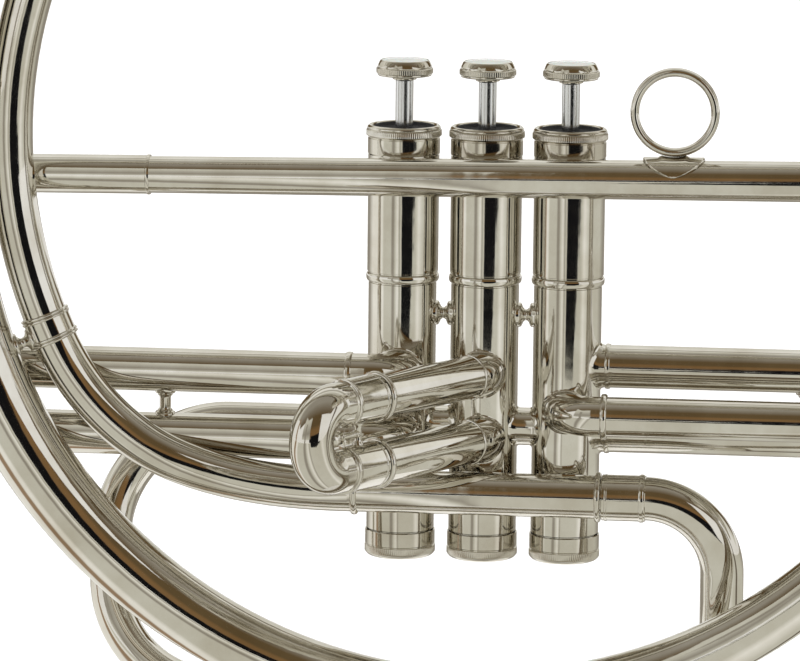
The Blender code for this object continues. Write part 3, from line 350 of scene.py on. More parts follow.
def bump(tree, height, strength, distance):
    """A normal that is bent by a height."""
    return node_in(tree, "ShaderNodeBump", Strength=strength, Distance=distance,
                   Height=height).outputs["Normal"]


def new_material(name):
    """A principled material with the object's own coordinates."""
    mat = bpy.data.materials.new(name)
    mat.use_nodes = True
    tree = mat.node_tree
    coords = tree.nodes.new("ShaderNodeTexCoord").outputs["Object"]
    return mat, tree, tree.nodes["Principled BSDF"], coords


def plated(name, bright, tarnished, smooth, dull, wave):
    """Polished metal with faint tarnish, fine wear and the slight waves of drawn tube."""
    mat, tree, shader, coords = new_material(name)
    blotches = noise_value(tree, coords, 46, 5, 0.6)
    wear = noise_value(tree, coords, 190, 8, 0.65)
    waves = noise_value(tree, coords, 75, 2, 0.45)
    set_inputs(tree, shader, Metallic=1.0,
               Base_Color=mixed(tree, spread(tree, blotches, 0, 1), bright, tarnished),
               Roughness=spread(tree, wear, smooth, dull),
               Normal=bump(tree, waves, wave, 0.0012))
    return mat


def felt_material():
    """Black wool felt with a little pale dust."""
    mat, tree, shader, coords = new_material("wool_felt")
    dust = spread(tree, noise_value(tree, coords, 900, 3, 0.7), 0, 1, 0.66, 0.78)
    fibres = noise_value(tree, coords, 2600, 6, 0.8)
    set_inputs(tree, shader, Roughness=0.95, Sheen_Weight=0.08, Sheen_Roughness=0.6,
               Base_Color=mixed(tree, dust, (0.012, 0.012, 0.013), (0.10, 0.10, 0.095)),
               Normal=bump(tree, fibres, 0.9, 0.0004))
    return mat


def inlay_material():
    """The buttons' pale inlay, milky with faint cloudy bands."""
    mat, tree, shader, coords = new_material("pale_inlay_gloss")
    clouds = noise_value(tree, coords, 230, 4, 0.6)
    wear = noise_value(tree, coords, 700, 3)
    milk = mixed(tree, spread(tree, clouds, 0, 1), (0.80, 0.84, 0.81), (0.66, 0.72, 0.69))
    set_inputs(tree, shader, Base_Color=milk, Roughness=spread(tree, wear, 0.1, 0.22),
               Coat_Weight=0.5, Coat_Roughness=0.06, Subsurface_Weight=0.15,
               Subsurface_Scale=0.001, Normal=bump(tree, clouds, 0.06, 0.0006))
    return mat


NICKEL = plated("nickel_polished", (0.76, 0.74, 0.68), (0.60, 0.565, 0.485), 0.035, 0.1, 0.06)
CAP_NICKEL = plated("nickel_caps", (0.71, 0.69, 0.62), (0.56, 0.52, 0.44), 0.05, 0.13, 0.04)
STEEL = plated("steel_satin", (0.76, 0.77, 0.78), (0.66, 0.67, 0.68), 0.14, 0.24, 0.03)
MONEL = plated("piston_lapped", (0.52, 0.50, 0.47), (0.42, 0.40, 0.37), 0.2, 0.38, 0.05)
BRASS = plated("guide_brass", (0.70, 0.50, 0.22), (0.55, 0.37, 0.16), 0.18, 0.36, 0.05)
FELT = felt_material()
INLAY = inlay_material()


# Pieces

def mesh_object(name, bm, material):
    """Put a bmesh in the scene as an object of one material."""
    mesh = bpy.data.meshes.new(name)
    bm.to_mesh(mesh)
    bm.free()
    mesh.materials.append(material)
    obj = bpy.data.objects.new(name, mesh)
    bpy.context.scene.collection.objects.link(obj)
    return obj


def add_piece(name, bm, node, material=NICKEL, slot="nickel_plate", sharp=40):
    """Put a bmesh in the scene as one piece that stands for a CAD node."""
    bmesh.ops.recalc_face_normals(bm, faces=bm.faces)
    obj = mesh_object(name, bm, material)
    obj.data.shade_smooth()
    obj.data.set_sharp_from_angle(angle=radians(sharp))
    weighted = obj.modifiers.new("weighted_normals", "WEIGHTED_NORMAL")
    weighted.keep_sharp = True
    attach(obj, BODY[node])
    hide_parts(node)


class Path:
    """A closely sampled centre line of straight runs and bends."""

    def __init__(self, start, heading):
        self.points = [Vector(start)]
        self.headings = [Vector(heading).normalized()]

    def line(self, length, steps=1):
        """Run straight on."""
        start = self.points[-1]
        heading = self.headings[-1]
        for i in range(1, steps + 1):
            self.points.append(start + heading * (length * i / steps))
            self.headings.append(heading.copy())
        return self

    def arc(self, angle, radius, axis, step=ARC_STEP):
        """Turn by an angle in degrees about an axis, right-handed."""
        steps = max(4, round(abs(angle) / step))
        axis = Vector(axis).normalized()
        start = self.points[-1]
        heading = self.headings[-1]
        side = axis.cross(heading).normalized() * (radius if angle > 0 else -radius)
        centre = start + side
        for i in range(1, steps + 1):
            turn = Matrix.Rotation(radians(angle) * i / steps, 3, axis)
            self.points.append(centre + turn @ (start - centre))
            self.headings.append(turn @ heading)
        return self

    def lean(self, offset, share=1.0):
        """Drift sideways by an offset over a share of the path, gently at both ends."""
        reach = self.distances()
        total = reach[-1] * share
        for i, s in enumerate(reach):
            t = min(1.0, s / total)
            self.points[i] += Vector(offset) * (t * t * (3 - 2 * t))
            rate = 6 * t * (1 - t) / total
            self.headings[i] = (self.headings[i] + Vector(offset) * rate).normalized()
        return self

    def distances(self):
        """How far along the path each of its points is."""
        out = [0.0]
        for a, b in zip(self.points, self.points[1:]):
            out.append(out[-1] + (b - a).length)
        return out

    def settle(self, side_ref=AXIS_Y):
        """Fix the distances and the directions square to the path, without twist."""
        self.reach = self.distances()
        self.length = self.reach[-1]
        normal = Vector(side_ref)
        previous = self.headings[0]
        self.normals = []
        for heading in self.headings:
            normal = previous.rotation_difference(heading) @ normal
            normal = (normal - heading * normal.dot(heading)).normalized()
            self.normals.append(normal.copy())
            previous = heading
        return self

    def at(self, s):
        """Point, heading and normal at a distance along the path."""
        i = min(max(bisect_right(self.reach, s) - 1, 0), len(self.reach) - 2)
        span = self.reach[i + 1] - self.reach[i]
        t = (s - self.reach[i]) / span
        a = self.headings[i]
        b = self.headings[i + 1]
        turn = a.rotation_difference(b)
        if turn.angle < 1e-6 or t < 0 or t > 1:
            if t >= 0.5:
                i += 1
            heading = self.headings[i]
            return self.points[i] + heading * (s - self.reach[i]), heading, self.normals[i]
        part = Quaternion().slerp(turn, t)
        heading = part @ a
        point = self.points[i].lerp(self.points[i + 1], t)
        sag = (b - a) * (span * t * (1 - t) / 2)
        return point - sag, heading, part @ self.normals[i]


def rim_point(path, s, radius, angle):
    """A point on the tube's wall."""
    point, heading, normal = path.at(s)
    return point + (normal * cos(angle) + heading.cross(normal) * sin(angle)) * radius


def wall_ring(path, radius, valve_x, wall, far, sides):
    """The distance along the path at which each line of a tube leaves a casing's wall."""
    halvings = 18
    out = []
    for k in range(sides):
        low = -2 * MM
        high = far
        for _ in range(halvings):
            middle = (low + high) / 2
            place = rim_point(path, middle, radius, 2 * pi * k / sides)
            if hypot(place.x - valve_x, place.y) < wall:
                low = middle
            else:
                high = middle
        out.append(high)
    return out


def skin(rows, sides):
    """Faces between neighbouring rings of places, and from the last back to the first.

    A ring of one place closes an end, and then the rings don't go back to the first.
    """
    bm = bmesh.new()
    loops = [[bm.verts.new(place) for place in row] for row in rows]
    pairs = list(zip(loops, loops[1:]))
    if len(loops[0]) > 1 and len(loops[-1]) > 1:
        pairs.append((loops[-1], loops[0]))
    for a, b in pairs:
        for k in range(sides):
            n = (k + 1) % sides
            corners = [a[k % len(a)], a[n % len(a)], b[n % len(b)], b[k % len(b)]]
            unique = list(dict.fromkeys(corners))
            if len(unique) > 2:
                bm.faces.new(unique)
    return bm


def sweep(path, outline, sides=TUBE_SIDES):
    """Carry a closed outline of (distance, radius) pairs round a path.

    A distance can be a list, with one value for each side.
    """
    rows = []
    for s, radius in outline:
        places = s if isinstance(s, list) else [s] * sides
        rows.append([rim_point(path, here, radius, 2 * pi * k / sides)
                     for k, here in enumerate(places)])
    return skin(rows, sides)


def grid_into(bm, rows):
    """Faces over rows of places. Where two rows differ in length, the shorter one counts."""
    made = [[bm.verts.new(place) for place in row] for row in rows]
    for a, b in zip(made, made[1:]):
        for j in range(min(len(a), len(b)) - 1):
            bm.faces.new((a[j], a[j + 1], b[j + 1], b[j]))
    return made


def stations(path, start, end):
    """The path's own samples strictly between two distances."""
    clear = 0.25 * MM
    return [s for s in path.reach if start + clear < s < end - clear]


def roll(width, height, steps=8):
    """A full, half-round ring, as (distance, rise) pairs."""
    fullness = 0.6
    out = []
    for i in range(steps + 1):
        a = pi * i / steps
        out.append((width / 2 * (1 - cos(a)), height * sin(a) ** fullness))
    return out


def bead(centre, width, base, height, steps=6):
    """A fine half-round ring on a band."""
    return [(centre - width / 2 * cos(pi * i / steps), base + height * sin(pi * i / steps))
            for i in range(steps + 1)]


def ferrule():
    """A soldered band with two fine rings at each end, as (distance, rise) pairs."""
    base = 0.5 * FERRULE_RISE
    width = 0.9 * MM
    first = 0.55 * MM
    second = first + 1.05 * width
    chamfer = 0.15 * MM
    out = [(0.0, base - chamfer)]
    for centre in (first, second, FERRULE_LENGTH - second, FERRULE_LENGTH - first):
        out += bead(centre, width, base, FERRULE_RISE - base)
    out.append((FERRULE_LENGTH, 0.0))
    return out


END_RING = roll(END_RING_WIDTH, END_RING_R - OUTER_LEG_R, 10)
JOINT_RING = roll(THIN_RING, FERRULE_RISE)
FERRULE = ferrule()


def steady(value):
    """The same radius all along."""
    return lambda s: value


def growing(start, end, length):
    """A radius that grows by equal ratios along a tube."""
    return lambda s: start * (end / start) ** (min(max(s, 0.0), length) / length)


def straight_taper(start, end, length):
    """A radius that grows evenly along a tube."""
    return lambda s: start + (end - start) * s / length


def outline_of(path, radius, wall, start, end, foot, sides, rings):
    """The closed outline of a tube's wall.

    start and end are (distance from that end, rise) pairs. A foot is (valve's X, distance at
    which the tube is clear of the casing), and gives the start a soldered joint.
    """
    outer = []
    low = 0.0
    inner_start = 0.0
    if foot:
        valve_x, far = foot
        for rise, lift in SOLDER:
            grown = radius(0.0) + rise
            away = wall_ring(path, grown, valve_x, LOWER_CASING_R + lift, far, sides)
            outer.append((away, grown))
        clear = outer[-1][0]
        for t in (0.35, 0.7):
            outer.append(([s + (far - s) * t for s in clear], radius(0.0)))
        outer.append((far, radius(far)))
        inner_start = wall_ring(path, radius(0.0) - wall, valve_x, LOWER_CASING_R, far, sides)
        low = far
    elif start:
        outer += [(d, radius(d) + rise) for d, rise in start]
        low = start[-1][0]
    else:
        outer.append((0.0, radius(0.0)))
    high = path.length - (end[-1][0] if end else 0.0)
    along = [(s, radius(s)) for s in stations(path, low, high)
             if all(abs(s - at) > width for at, width, rise in rings)]
    for at, width, rise in rings:
        along += [(at - width / 2 + s, radius(at) + lift) for s, lift in roll(width, rise)]
    outer += sorted(along)
    if end:
        outer += [(path.length - d, radius(path.length - d) + rise) for d, rise in end[::-1]]
    else:
        outer.append((path.length, radius(path.length)))
    inner = [(path.length, radius(path.length) - wall)]
    inner += [(s, radius(s) - wall) for s in stations(path, low, path.length)[::-1]]
    inner.append((inner_start, radius(0.0) - wall))
    return outer + inner


def tube(node, path, radius, wall=TUBE_WALL, start=(), end=(), foot=None, side_ref=AXIS_Y,
         sides=TUBE_SIDES, rings=()):
    """A nickel tube along a path. Rings are (distance, width, rise) round it.

    The radius is a number, or a function of the distance along the path.
    """
    path.settle(side_ref)
    if not callable(radius):
        radius = steady(radius)
    outline = outline_of(path, radius, wall, start, end, foot, sides, rings)
    add_piece(node + "_tube", sweep(path, outline, sides), node)


def lathe(name, node, profile, place, axis=AXIS_Z, sides=LATHE_SIDES, ribs=0, **finish):
    """A turned piece from (radius, height) pairs, or (radius, height, rib depth) on a knurl."""
    side_ref = AXIS_Y if abs(axis.y) < 0.9 else AXIS_X
    normal = (side_ref - axis * side_ref.dot(axis)).normalized()
    binormal = axis.cross(normal)
    per_rib = 4
    if ribs:
        sides = ribs * per_rib
    rows = []
    for radius, height, *depth in profile:
        middle = Vector(place) + axis * height
        row = []
        for k in range(sides if radius > 0 else 1):
            a = 2 * pi * k / sides
            r = radius
            if depth:
                r -= depth[0] * abs(2 * (k % per_rib) / per_rib - 1)
            row.append(middle + (normal * cos(a) + binormal * sin(a)) * r)
        rows.append(row)
    add_piece(name, skin(rows, sides), node, **finish)


def strut(node, a, b, radius_a, radius_b, along, profile, sides=POST_SIDES):
    """A turned post whose ends follow the round walls that it stands between.

    The profile holds (share of the way, radius) pairs.
    """
    heading = (b - a).normalized()
    along = (along - heading * along.dot(heading)).normalized()
    side = heading.cross(along)
    length = (b - a).length
    rows = []
    for t, radius in profile:
        row = []
        for k in range(sides if radius > 0 else 1):
            u = radius * cos(2 * pi * k / sides)
            v = radius * sin(2 * pi * k / sides)
            start = sqrt(radius_a ** 2 - v * v)
            end = length - sqrt(radius_b ** 2 - v * v)
            row.append(a + heading * (start + (end - start) * t) + along * u + side * v)
        rows.append(row)
    add_piece(node + "_post", skin(rows, sides), node)


def both_ends(half):
    """A post's whole profile, from (share of the way, radius) pairs of its first half."""
    return half + [(1 - t, r) for t, r in half[::-1] if t < 0.5]


def post(node, a, b, radius_a, radius_b, along, flange, waist):
    """A slim post between two tubes, with a rounded foot flange at both ends."""
    share = min(POST_FLANGE_THICK / ((b - a).length - radius_a - radius_b), 0.16)
    profile = both_ends([(0.0, 0.0), (0.0, flange), (0.55 * share, flange),
                         (0.9 * share, flange * 0.93), (1.15 * share, flange * 0.72),
                         (1.5 * share, waist * 1.35), (2.2 * share, waist * 1.05),
                         (2.9 * share, waist)])
    strut(node, a, b, radius_a, radius_b, along, profile)


# Valves

def smooth_curve(points, steps=4):
    """More (radius, height) pairs along a smooth line through the given ones."""
    out = []
    last = len(points) - 1
    for i in range(last):
        before = Vector(points[max(0, i - 1)])
        here = Vector(points[i])
        there = Vector(points[i + 1])
        after = Vector(points[min(last, i + 2)])
        for j in range(steps):
            t = j / steps
            a = 2 * t ** 3 - 3 * t ** 2 + 1
            b = t ** 3 - 2 * t ** 2 + t
            c = -2 * t ** 3 + 3 * t ** 2
            d = t ** 3 - t ** 2
            place = here * a + (there - before) * (b / 2) + there * c + (after - here) * (d / 2)
            out.append((place.x, place.y))
    out.append(tuple(points[last]))
    return out


def near(radius, height, *offsets):
    """(radius, height) pairs at offsets in mm from a corner of a turned profile."""
    return [(radius + out * MM, height + up * MM) for out, up in offsets]


def make_casing(number, place):
    """A casing tube with its rounded bead between two fine grooves."""
    node = "casing_%d" % number
    low = SEAM_Z - THREAD_LENGTH
    top = CAP_UNDER_Z - GAP
    half = BEAD_HEIGHT / 2
    crown = 3.2 * GROOVE
    fullness = 0.7
    steps = 10
    profile = [(CASING_BORE_R, low), (THREAD_R, low), (THREAD_R, SEAM_Z + GAP),
               (LOWER_CASING_R - GROOVE, SEAM_Z + GAP), (LOWER_CASING_R, SEAM_Z + GAP + GROOVE),
               (LOWER_CASING_R, BEAD_Z - half - 2.2 * GROOVE),
               (LOWER_CASING_R - GROOVE, BEAD_Z - half - 1.6 * GROOVE),
               (LOWER_CASING_R - GROOVE, BEAD_Z - half)]
    for i in range(steps + 1):
        a = pi * i / steps
        profile.append((BEAD_R - crown + crown * sin(a) ** fullness, BEAD_Z - half * cos(a)))
    profile += [(UPPER_CASING_R - GROOVE, BEAD_Z + half),
                (UPPER_CASING_R - GROOVE, BEAD_Z + half + 1.6 * GROOVE),
                (UPPER_CASING_R, BEAD_Z + half + 2.2 * GROOVE),
                (UPPER_CASING_R, CAP_SKIRT_Z - GAP), (THREAD_R, CAP_SKIRT_Z - GAP),
                (THREAD_R, top), (CASING_BORE_R, top)]
    lathe(node + "_tube", node, profile, place)


def make_top_cap(number, place):
    """The cup-shaped upper cap, with a knurled belt under its rounded rim."""
    node = "top_cap_%d" % number
    skirt = TOP_CAP_R - 0.5 * MM
    waist = skirt - 1.5 * EDGE
    belt_low = CAP_RIM_Z - 3.3 * MM
    belt_high = CAP_RIM_Z - 1.3 * MM
    hole = STEM_R + 2 * GAP
    profile = [(THREAD_R + GAP, CAP_SKIRT_Z), (skirt - EDGE, CAP_SKIRT_Z),
               (skirt, CAP_SKIRT_Z + EDGE), (skirt, belt_low - 6 * EDGE),
               (waist, belt_low - 4.5 * EDGE), (waist, belt_low - 3 * EDGE),
               (skirt + 0.5 * EDGE, belt_low - EDGE),
               (TOP_CAP_R, belt_low + 2 * EDGE, KNURL_DEPTH),
               (TOP_CAP_R, belt_high - 2 * EDGE, KNURL_DEPTH),
               (TOP_CAP_R - 3 * EDGE, belt_high + EDGE)]
    profile += smooth_curve([(TOP_CAP_R - 2.2 * EDGE, belt_high + 2 * EDGE)]
                            + near(TOP_CAP_R, CAP_RIM_Z, (-0.3, -0.55), (-0.9, 0))
                            + near(TOP_CAP_MOUTH_R, CAP_RIM_Z, (0.35, -0.12), (0, -0.7)))
    profile += [(TOP_CAP_MOUTH_R, TOP_CAP_FLOOR_Z), (hole, TOP_CAP_FLOOR_Z), (hole, CAP_UNDER_Z),
                (THREAD_R + GAP, CAP_UNDER_Z)]
    lathe(node + "_cup", node, profile, place, ribs=112, material=CAP_NICKEL)


def make_bottom_cap(number, place):
    """The lower cap, with its seam line, knurled rim and vent."""
    node = "bottom_cap_%d" % number
    inner = THREAD_R + GAP
    floor = BOTTOM_Z + BOTTOM_CAP_WALL
    belt_low = BOTTOM_Z + 1.1 * MM
    belt_high = BOTTOM_Z + 3.3 * MM
    profile = [(VENT_R, floor), (VENT_R, BOTTOM_Z + 2 * EDGE)]
    profile += smooth_curve(near(VENT_R, BOTTOM_Z, (0.4, 0))
                            + near(BOTTOM_CAP_R, BOTTOM_Z, (-2.4, 0), (-0.95, 0.22), (-0.3, 0.8)))
    profile += [(BOTTOM_CAP_R, belt_low + EDGE, KNURL_DEPTH),
                (BOTTOM_CAP_R, belt_high - EDGE, KNURL_DEPTH),
                (BOTTOM_CAP_R - 3 * EDGE, belt_high),
                (BOTTOM_CAP_R - 3 * EDGE, belt_high + 2 * EDGE),
                (BOTTOM_CAP_R - EDGE, belt_high + 4 * EDGE), (BOTTOM_CAP_R - EDGE, SEAM_Z - EDGE),
                (BOTTOM_CAP_R - 2 * EDGE, SEAM_Z), (inner, SEAM_Z),
                (inner, SEAM_Z - THREAD_LENGTH - GAP), (inner - 3 * MM, floor)]
    lathe(node + "_cup", node, profile, place, ribs=104, material=CAP_NICKEL)


def make_button(number, place):
    """Stem, finger button with a ribbed belt, and its domed inlay."""
    node = "button_%d" % number
    under = BUTTON_UNDER_Z
    top = BUTTON_TOP_Z
    joint = 0.02 * MM
    belt_low = under + 1.9 * MM
    belt_high = under + 3.5 * MM
    seat_z = top - INLAY_THICK
    seat_r = INLAY_R + 0.05 * MM
    flange_top = STEM_FLANGE_Z + STEM_FLANGE_THICK
    stem = [(0.0, STEM_FLANGE_Z), (STEM_FLANGE_R, STEM_FLANGE_Z), (STEM_FLANGE_R, flange_top),
            (STEM_R, flange_top)] + near(STEM_R, under, (0, -0.35), (0.35, 0)) + [(0.0, under)]
    lathe(node + "_stem", node, stem, place, material=STEEL)
    head = [(0.0, under + joint), (BUTTON_BOSS_R - EDGE, under + joint),
            (BUTTON_BOSS_R, under + EDGE)]
    head += smooth_curve(near(BUTTON_BOSS_R, under, (0, 0.35), (1, 0.75), (3, 1))
                         + near(BUTTON_R, under, (-0.75, 1.15), (-0.4, 1.4))
                         + [(BUTTON_R - 0.4 * MM, belt_low - EDGE)])
    head += [(BUTTON_R, belt_low + EDGE, KNURL_DEPTH), (BUTTON_R, belt_high - EDGE, KNURL_DEPTH)]
    head += smooth_curve([(BUTTON_R - 0.35 * MM, belt_high + EDGE)]
                         + near(BUTTON_R, belt_high, (-0.3, 0.55), (-0.62, 1.35))
                         + near(BUTTON_R, top, (-1.1, -0.2)) + near(seat_r, top, (0.04, 0)))
    head += near(seat_r, top, (0, -0.04)) + [(seat_r, seat_z), (0.0, seat_z)]
    lathe(node + "_head", node, head, place, ribs=84, material=CAP_NICKEL)
    inlay = [(0.0, seat_z + joint), (INLAY_R, seat_z + joint), (INLAY_R, top - 0.15 * MM)]
    edge_z = top - 0.06 * MM
    crown = 0.42 * MM
    steps = 12
    for i in range(1, steps + 1):
        share = 1 - i / steps
        inlay.append((INLAY_R * share, edge_z + crown * (1 - share ** 2)))
    node = "button_inlay_%d" % number
    lathe(node + "_dome", node, inlay, place, sides=72, material=INLAY, slot="pale_inlay")


def make_felt(number, place):
    """The fuzzy felt washer, dished under the button and high against the cup's wall."""
    node = "cap_felt_%d" % number
    low = FELT_TOP_Z - FELT_THICK
    inner = STEM_R + 1.0 * MM
    outer = TOP_CAP_MOUTH_R - GAP
    dished = smooth_curve(near(inner, FELT_TOP_Z, (0, 0), (0.4, 0.7))
                          + near(BUTTON_R, FELT_TOP_Z, (-2.2, 1.5), (-0.6, 1.8))
                          + near(BUTTON_R, CAP_RIM_Z, (0.15, -0.3))
                          + near(outer, CAP_RIM_Z, (-0.2, -0.1), (0, -0.6)), 5)
    fuzz = 0.25 * MM
    fuzz_scale = 1900
    sides = 140
    rows = []
    for radius, height in [(outer, low), (inner, low)] + dished:
        row = []
        for k in range(sides):
            a = 2 * pi * k / sides
            here = Vector((place[0] + radius * cos(a), radius * sin(a), height))
            if height > low:
                here.z -= fuzz * (0.5 + 0.5 * noise.noise(here * fuzz_scale))
            row.append(here)
        rows.append(row)
    add_piece(node + "_wool", skin(rows, sides), node, FELT, "black_felt", sharp=70)


def make_casing_links():
    """Spools and crossover tubes between neighbouring casings."""
    wall = LOWER_CASING_R - 0.05 * MM
    spool = both_ends([(0.0, 0.0), (0.0, SPOOL_FLANGE_R), (0.13, SPOOL_FLANGE_R),
                       (0.2, 0.94 * SPOOL_FLANGE_R), (0.26, 0.78 * SPOOL_FLANGE_R),
                       (0.33, 1.25 * SPOOL_WAIST_R), (0.42, 1.04 * SPOOL_WAIST_R),
                       (0.5, SPOOL_WAIST_R)])
    crossover = both_ends([(0.0, 0.0), (0.0, CROSSOVER_R + 0.75 * MM),
                           (0.05, CROSSOVER_R + 0.35 * MM), (0.13, CROSSOVER_R + 0.1 * MM),
                           (0.22, CROSSOVER_R), (0.5, CROSSOVER_R)])
    for number in (1, 2):
        for kind, z, profile in (("casing_brace", SPOOL_Z, spool),
                                 ("crossover", CROSSOVER_Z, crossover)):
            a = Vector((VALVE_X[number], 0, z))
            b = Vector((VALVE_X[number + 1], 0, z))
            strut("%s_%d" % (kind, number), a, b, wall, wall, AXIS_Z, profile, TUBE_SIDES)


def make_valves():
    """The three valves, and what joins their casings."""
    for number, x in VALVE_X.items():
        for make in (make_casing, make_top_cap, make_bottom_cap, make_button, make_felt):
            make(number, (x, 0, 0))
        for node, material in (("piston", MONEL), ("valve_guide", BRASS), ("spring", STEEL)):
            for held in frame["nodes"]["%s_%d" % (node, number)].material_slots:
                held.material = material
    make_casing_links()


# Leadpipe

def lead_point(x):
    """The leadpipe's axis, which falls a little towards the mouthpiece."""
    return Vector((x, LEAD_Y, LEAD_BEND_Z + (x - LEAD_BEND_X) * tan(LEAD_TILT)))


def make_receiver():
    """The receiver with its thick, rounded mouth."""
    start = lead_point(RECEIVER_END_X)
    length = (lead_point(RECEIVER_RING_X) - start).length
    path = Path(start, LEAD_HEADING).line(length).settle()
    edge = 0.35 * MM
    neck = RECEIVER_COLLAR + 1.6 * MM
    outline = near(SHANK_BORE_R, 0.0, (0.5, 0)) + near(RECEIVER_MOUTH_R, 0.0, (-0.9, 0))
    outline += smooth_curve(near(RECEIVER_MOUTH_R, 0.0, (-0.6, 0.05))
                            + [(RECEIVER_MOUTH_R, 2 * edge)]
                            + near(RECEIVER_MOUTH_R, RECEIVER_COLLAR, (0, -1.2), (-0.5, 0))
                            + near(RECEIVER_R, neck, (0.15, -0.4), (0, 0)), 5)
    outline += near(RECEIVER_R, length, (0, -1), (0.2, -0.85), (0.25, -0.35), (0.15, 0))
    outline += [(SHANK_BORE_R - TUBE_WALL, length), (SHANK_BORE_R, RECEIVER_COLLAR + 2 * edge),
                (SHANK_BORE_R + 0.6 * TUBE_WALL, RECEIVER_COLLAR * 0.5)]
    add_piece("receiver_tube", sweep(path, [(s, r) for r, s in outline]), "receiver")


def make_leadpipe():
    """Leadpipe, its bend at the right and the elbow into the third valve."""
    start = lead_point(RECEIVER_RING_X)
    length = (lead_point(LEAD_BEND_X) - start).length
    path = Path(start, LEAD_HEADING).line(length, 6)
    tube("leadpipe", path, straight_taper(LEADPIPE_R0, LEADPIPE_R1, length))
    bend = (LEAD_BEND_Z - INLET_Z) / (1 + cos(LEAD_TILT))
    elbow_start = INLET_RING_X + THIN_RING / 2
    path = Path(lead_point(LEAD_BEND_X), LEAD_HEADING)
    path.arc(180 + degrees(LEAD_TILT), bend, AXIS_Y)
    path.line(path.points[-1].x - elbow_start, 4)
    tube("lead_crook", path, TUBE_R, start=FERRULE)
    path = Path((VALVE_X[3], LEAD_Y + ELBOW_RADIUS + ELBOW_STUB, INLET_Z), -AXIS_Y)
    path.line(ELBOW_STUB).arc(90, ELBOW_RADIUS, AXIS_Z, 4)
    path.line(elbow_start - path.points[-1].x)
    tube("inlet_elbow", path, TUBE_R, end=JOINT_RING, foot=(VALVE_X[3], ELBOW_CLEAR),
         side_ref=AXIS_Z)


def make_ring_loop(seat, stand):
    """The little-finger ring, whose flattened section has rounded edges."""
    half = FINGER_RING_WIDTH / 2
    middle = (FINGER_RING_R + FINGER_RING_BORE) / 2
    deep = (FINGER_RING_R - FINGER_RING_BORE) / 2
    roundness = 0.85
    count = 24
    profile = []
    for i in range(count):
        a = 2 * pi * i / count
        u = copysign(abs(cos(a)) ** roundness, cos(a))
        v = copysign(abs(sin(a)) ** roundness, sin(a))
        profile.append((middle + deep * u, half * v))
    lathe("finger_ring_loop", "finger_ring", profile, seat + AXIS_Z * (stand + FINGER_RING_R),
          AXIS_Y, sides=144)


def saddle_crown(x, across, reach, inner, outer):
    """Radius of the saddle's upper side, with its worn rim and the solder under the ring."""
    rim = 0.3 * MM
    solder_reach = 4.4 * MM
    solder_edge = 0.5 * MM
    solder_over = 0.08 * MM
    solder_narrowing = 22
    worn_share = 0.35
    inside = min(reach - abs(x), inner * SADDLE_SPAN / 2 * (1 - abs(across)))
    edge = min(1.0, max(0.0, inside) / rim)
    fill = min(1.0, max(0.0, solder_reach - abs(x)) / solder_edge)
    fill *= cos(SADDLE_SPAN / 2 * across) ** solder_narrowing
    under_ring = FINGER_RING_R - sqrt(FINGER_RING_R ** 2 - x * x)
    return (inner + (outer - inner) * (worn_share + (1 - worn_share) * sqrt(edge))
            + (under_ring + solder_over) * fill)


def make_finger_ring():
    """The finger ring and the saddle that it stands on in its solder."""
    seat = lead_point(FINGER_RING_X)
    inner = LEADPIPE_R1
    outer = inner + GAP + SADDLE_THICK
    make_ring_loop(seat, outer + GAP / 2)
    turn = Matrix.Translation(seat) @ Matrix.Rotation(-LEAD_TILT, 4, AXIS_Y)
    count = 40
    tip = 0.02
    bluntness = 0.7
    bm = bmesh.new()
    rims = []
    for crown in (False, True):
        grid = []
        for i in range(count + 1):
            across = sin(pi / 2 * (2 * i / count - 1))
            angle = SADDLE_SPAN / 2 * across
            reach = SADDLE_LENGTH / 2 * max(tip, 1 - across * across) ** bluntness
            row = []
            for j in range(count + 1):
                x = reach * sin(pi / 2 * (2 * j / count - 1))
                radius = saddle_crown(x, across, reach, inner, outer) if crown else inner
                row.append(turn @ Vector((x, radius * sin(angle), radius * cos(angle))))
            grid.append(row)
        grid = grid_into(bm, grid)
        right = [row[-1] for row in grid[1:-1]]
        left = [row[0] for row in grid[1:-1]]
        rims.append(grid[0] + right + grid[-1][::-1] + left[::-1])
    low, high = rims
    for k in range(len(low)):
        n = (k + 1) % len(low)
        bm.faces.new((low[k], low[n], high[n], high[k]))
    add_piece("ring_saddle_plate", bm, "ring_saddle")


# Slides

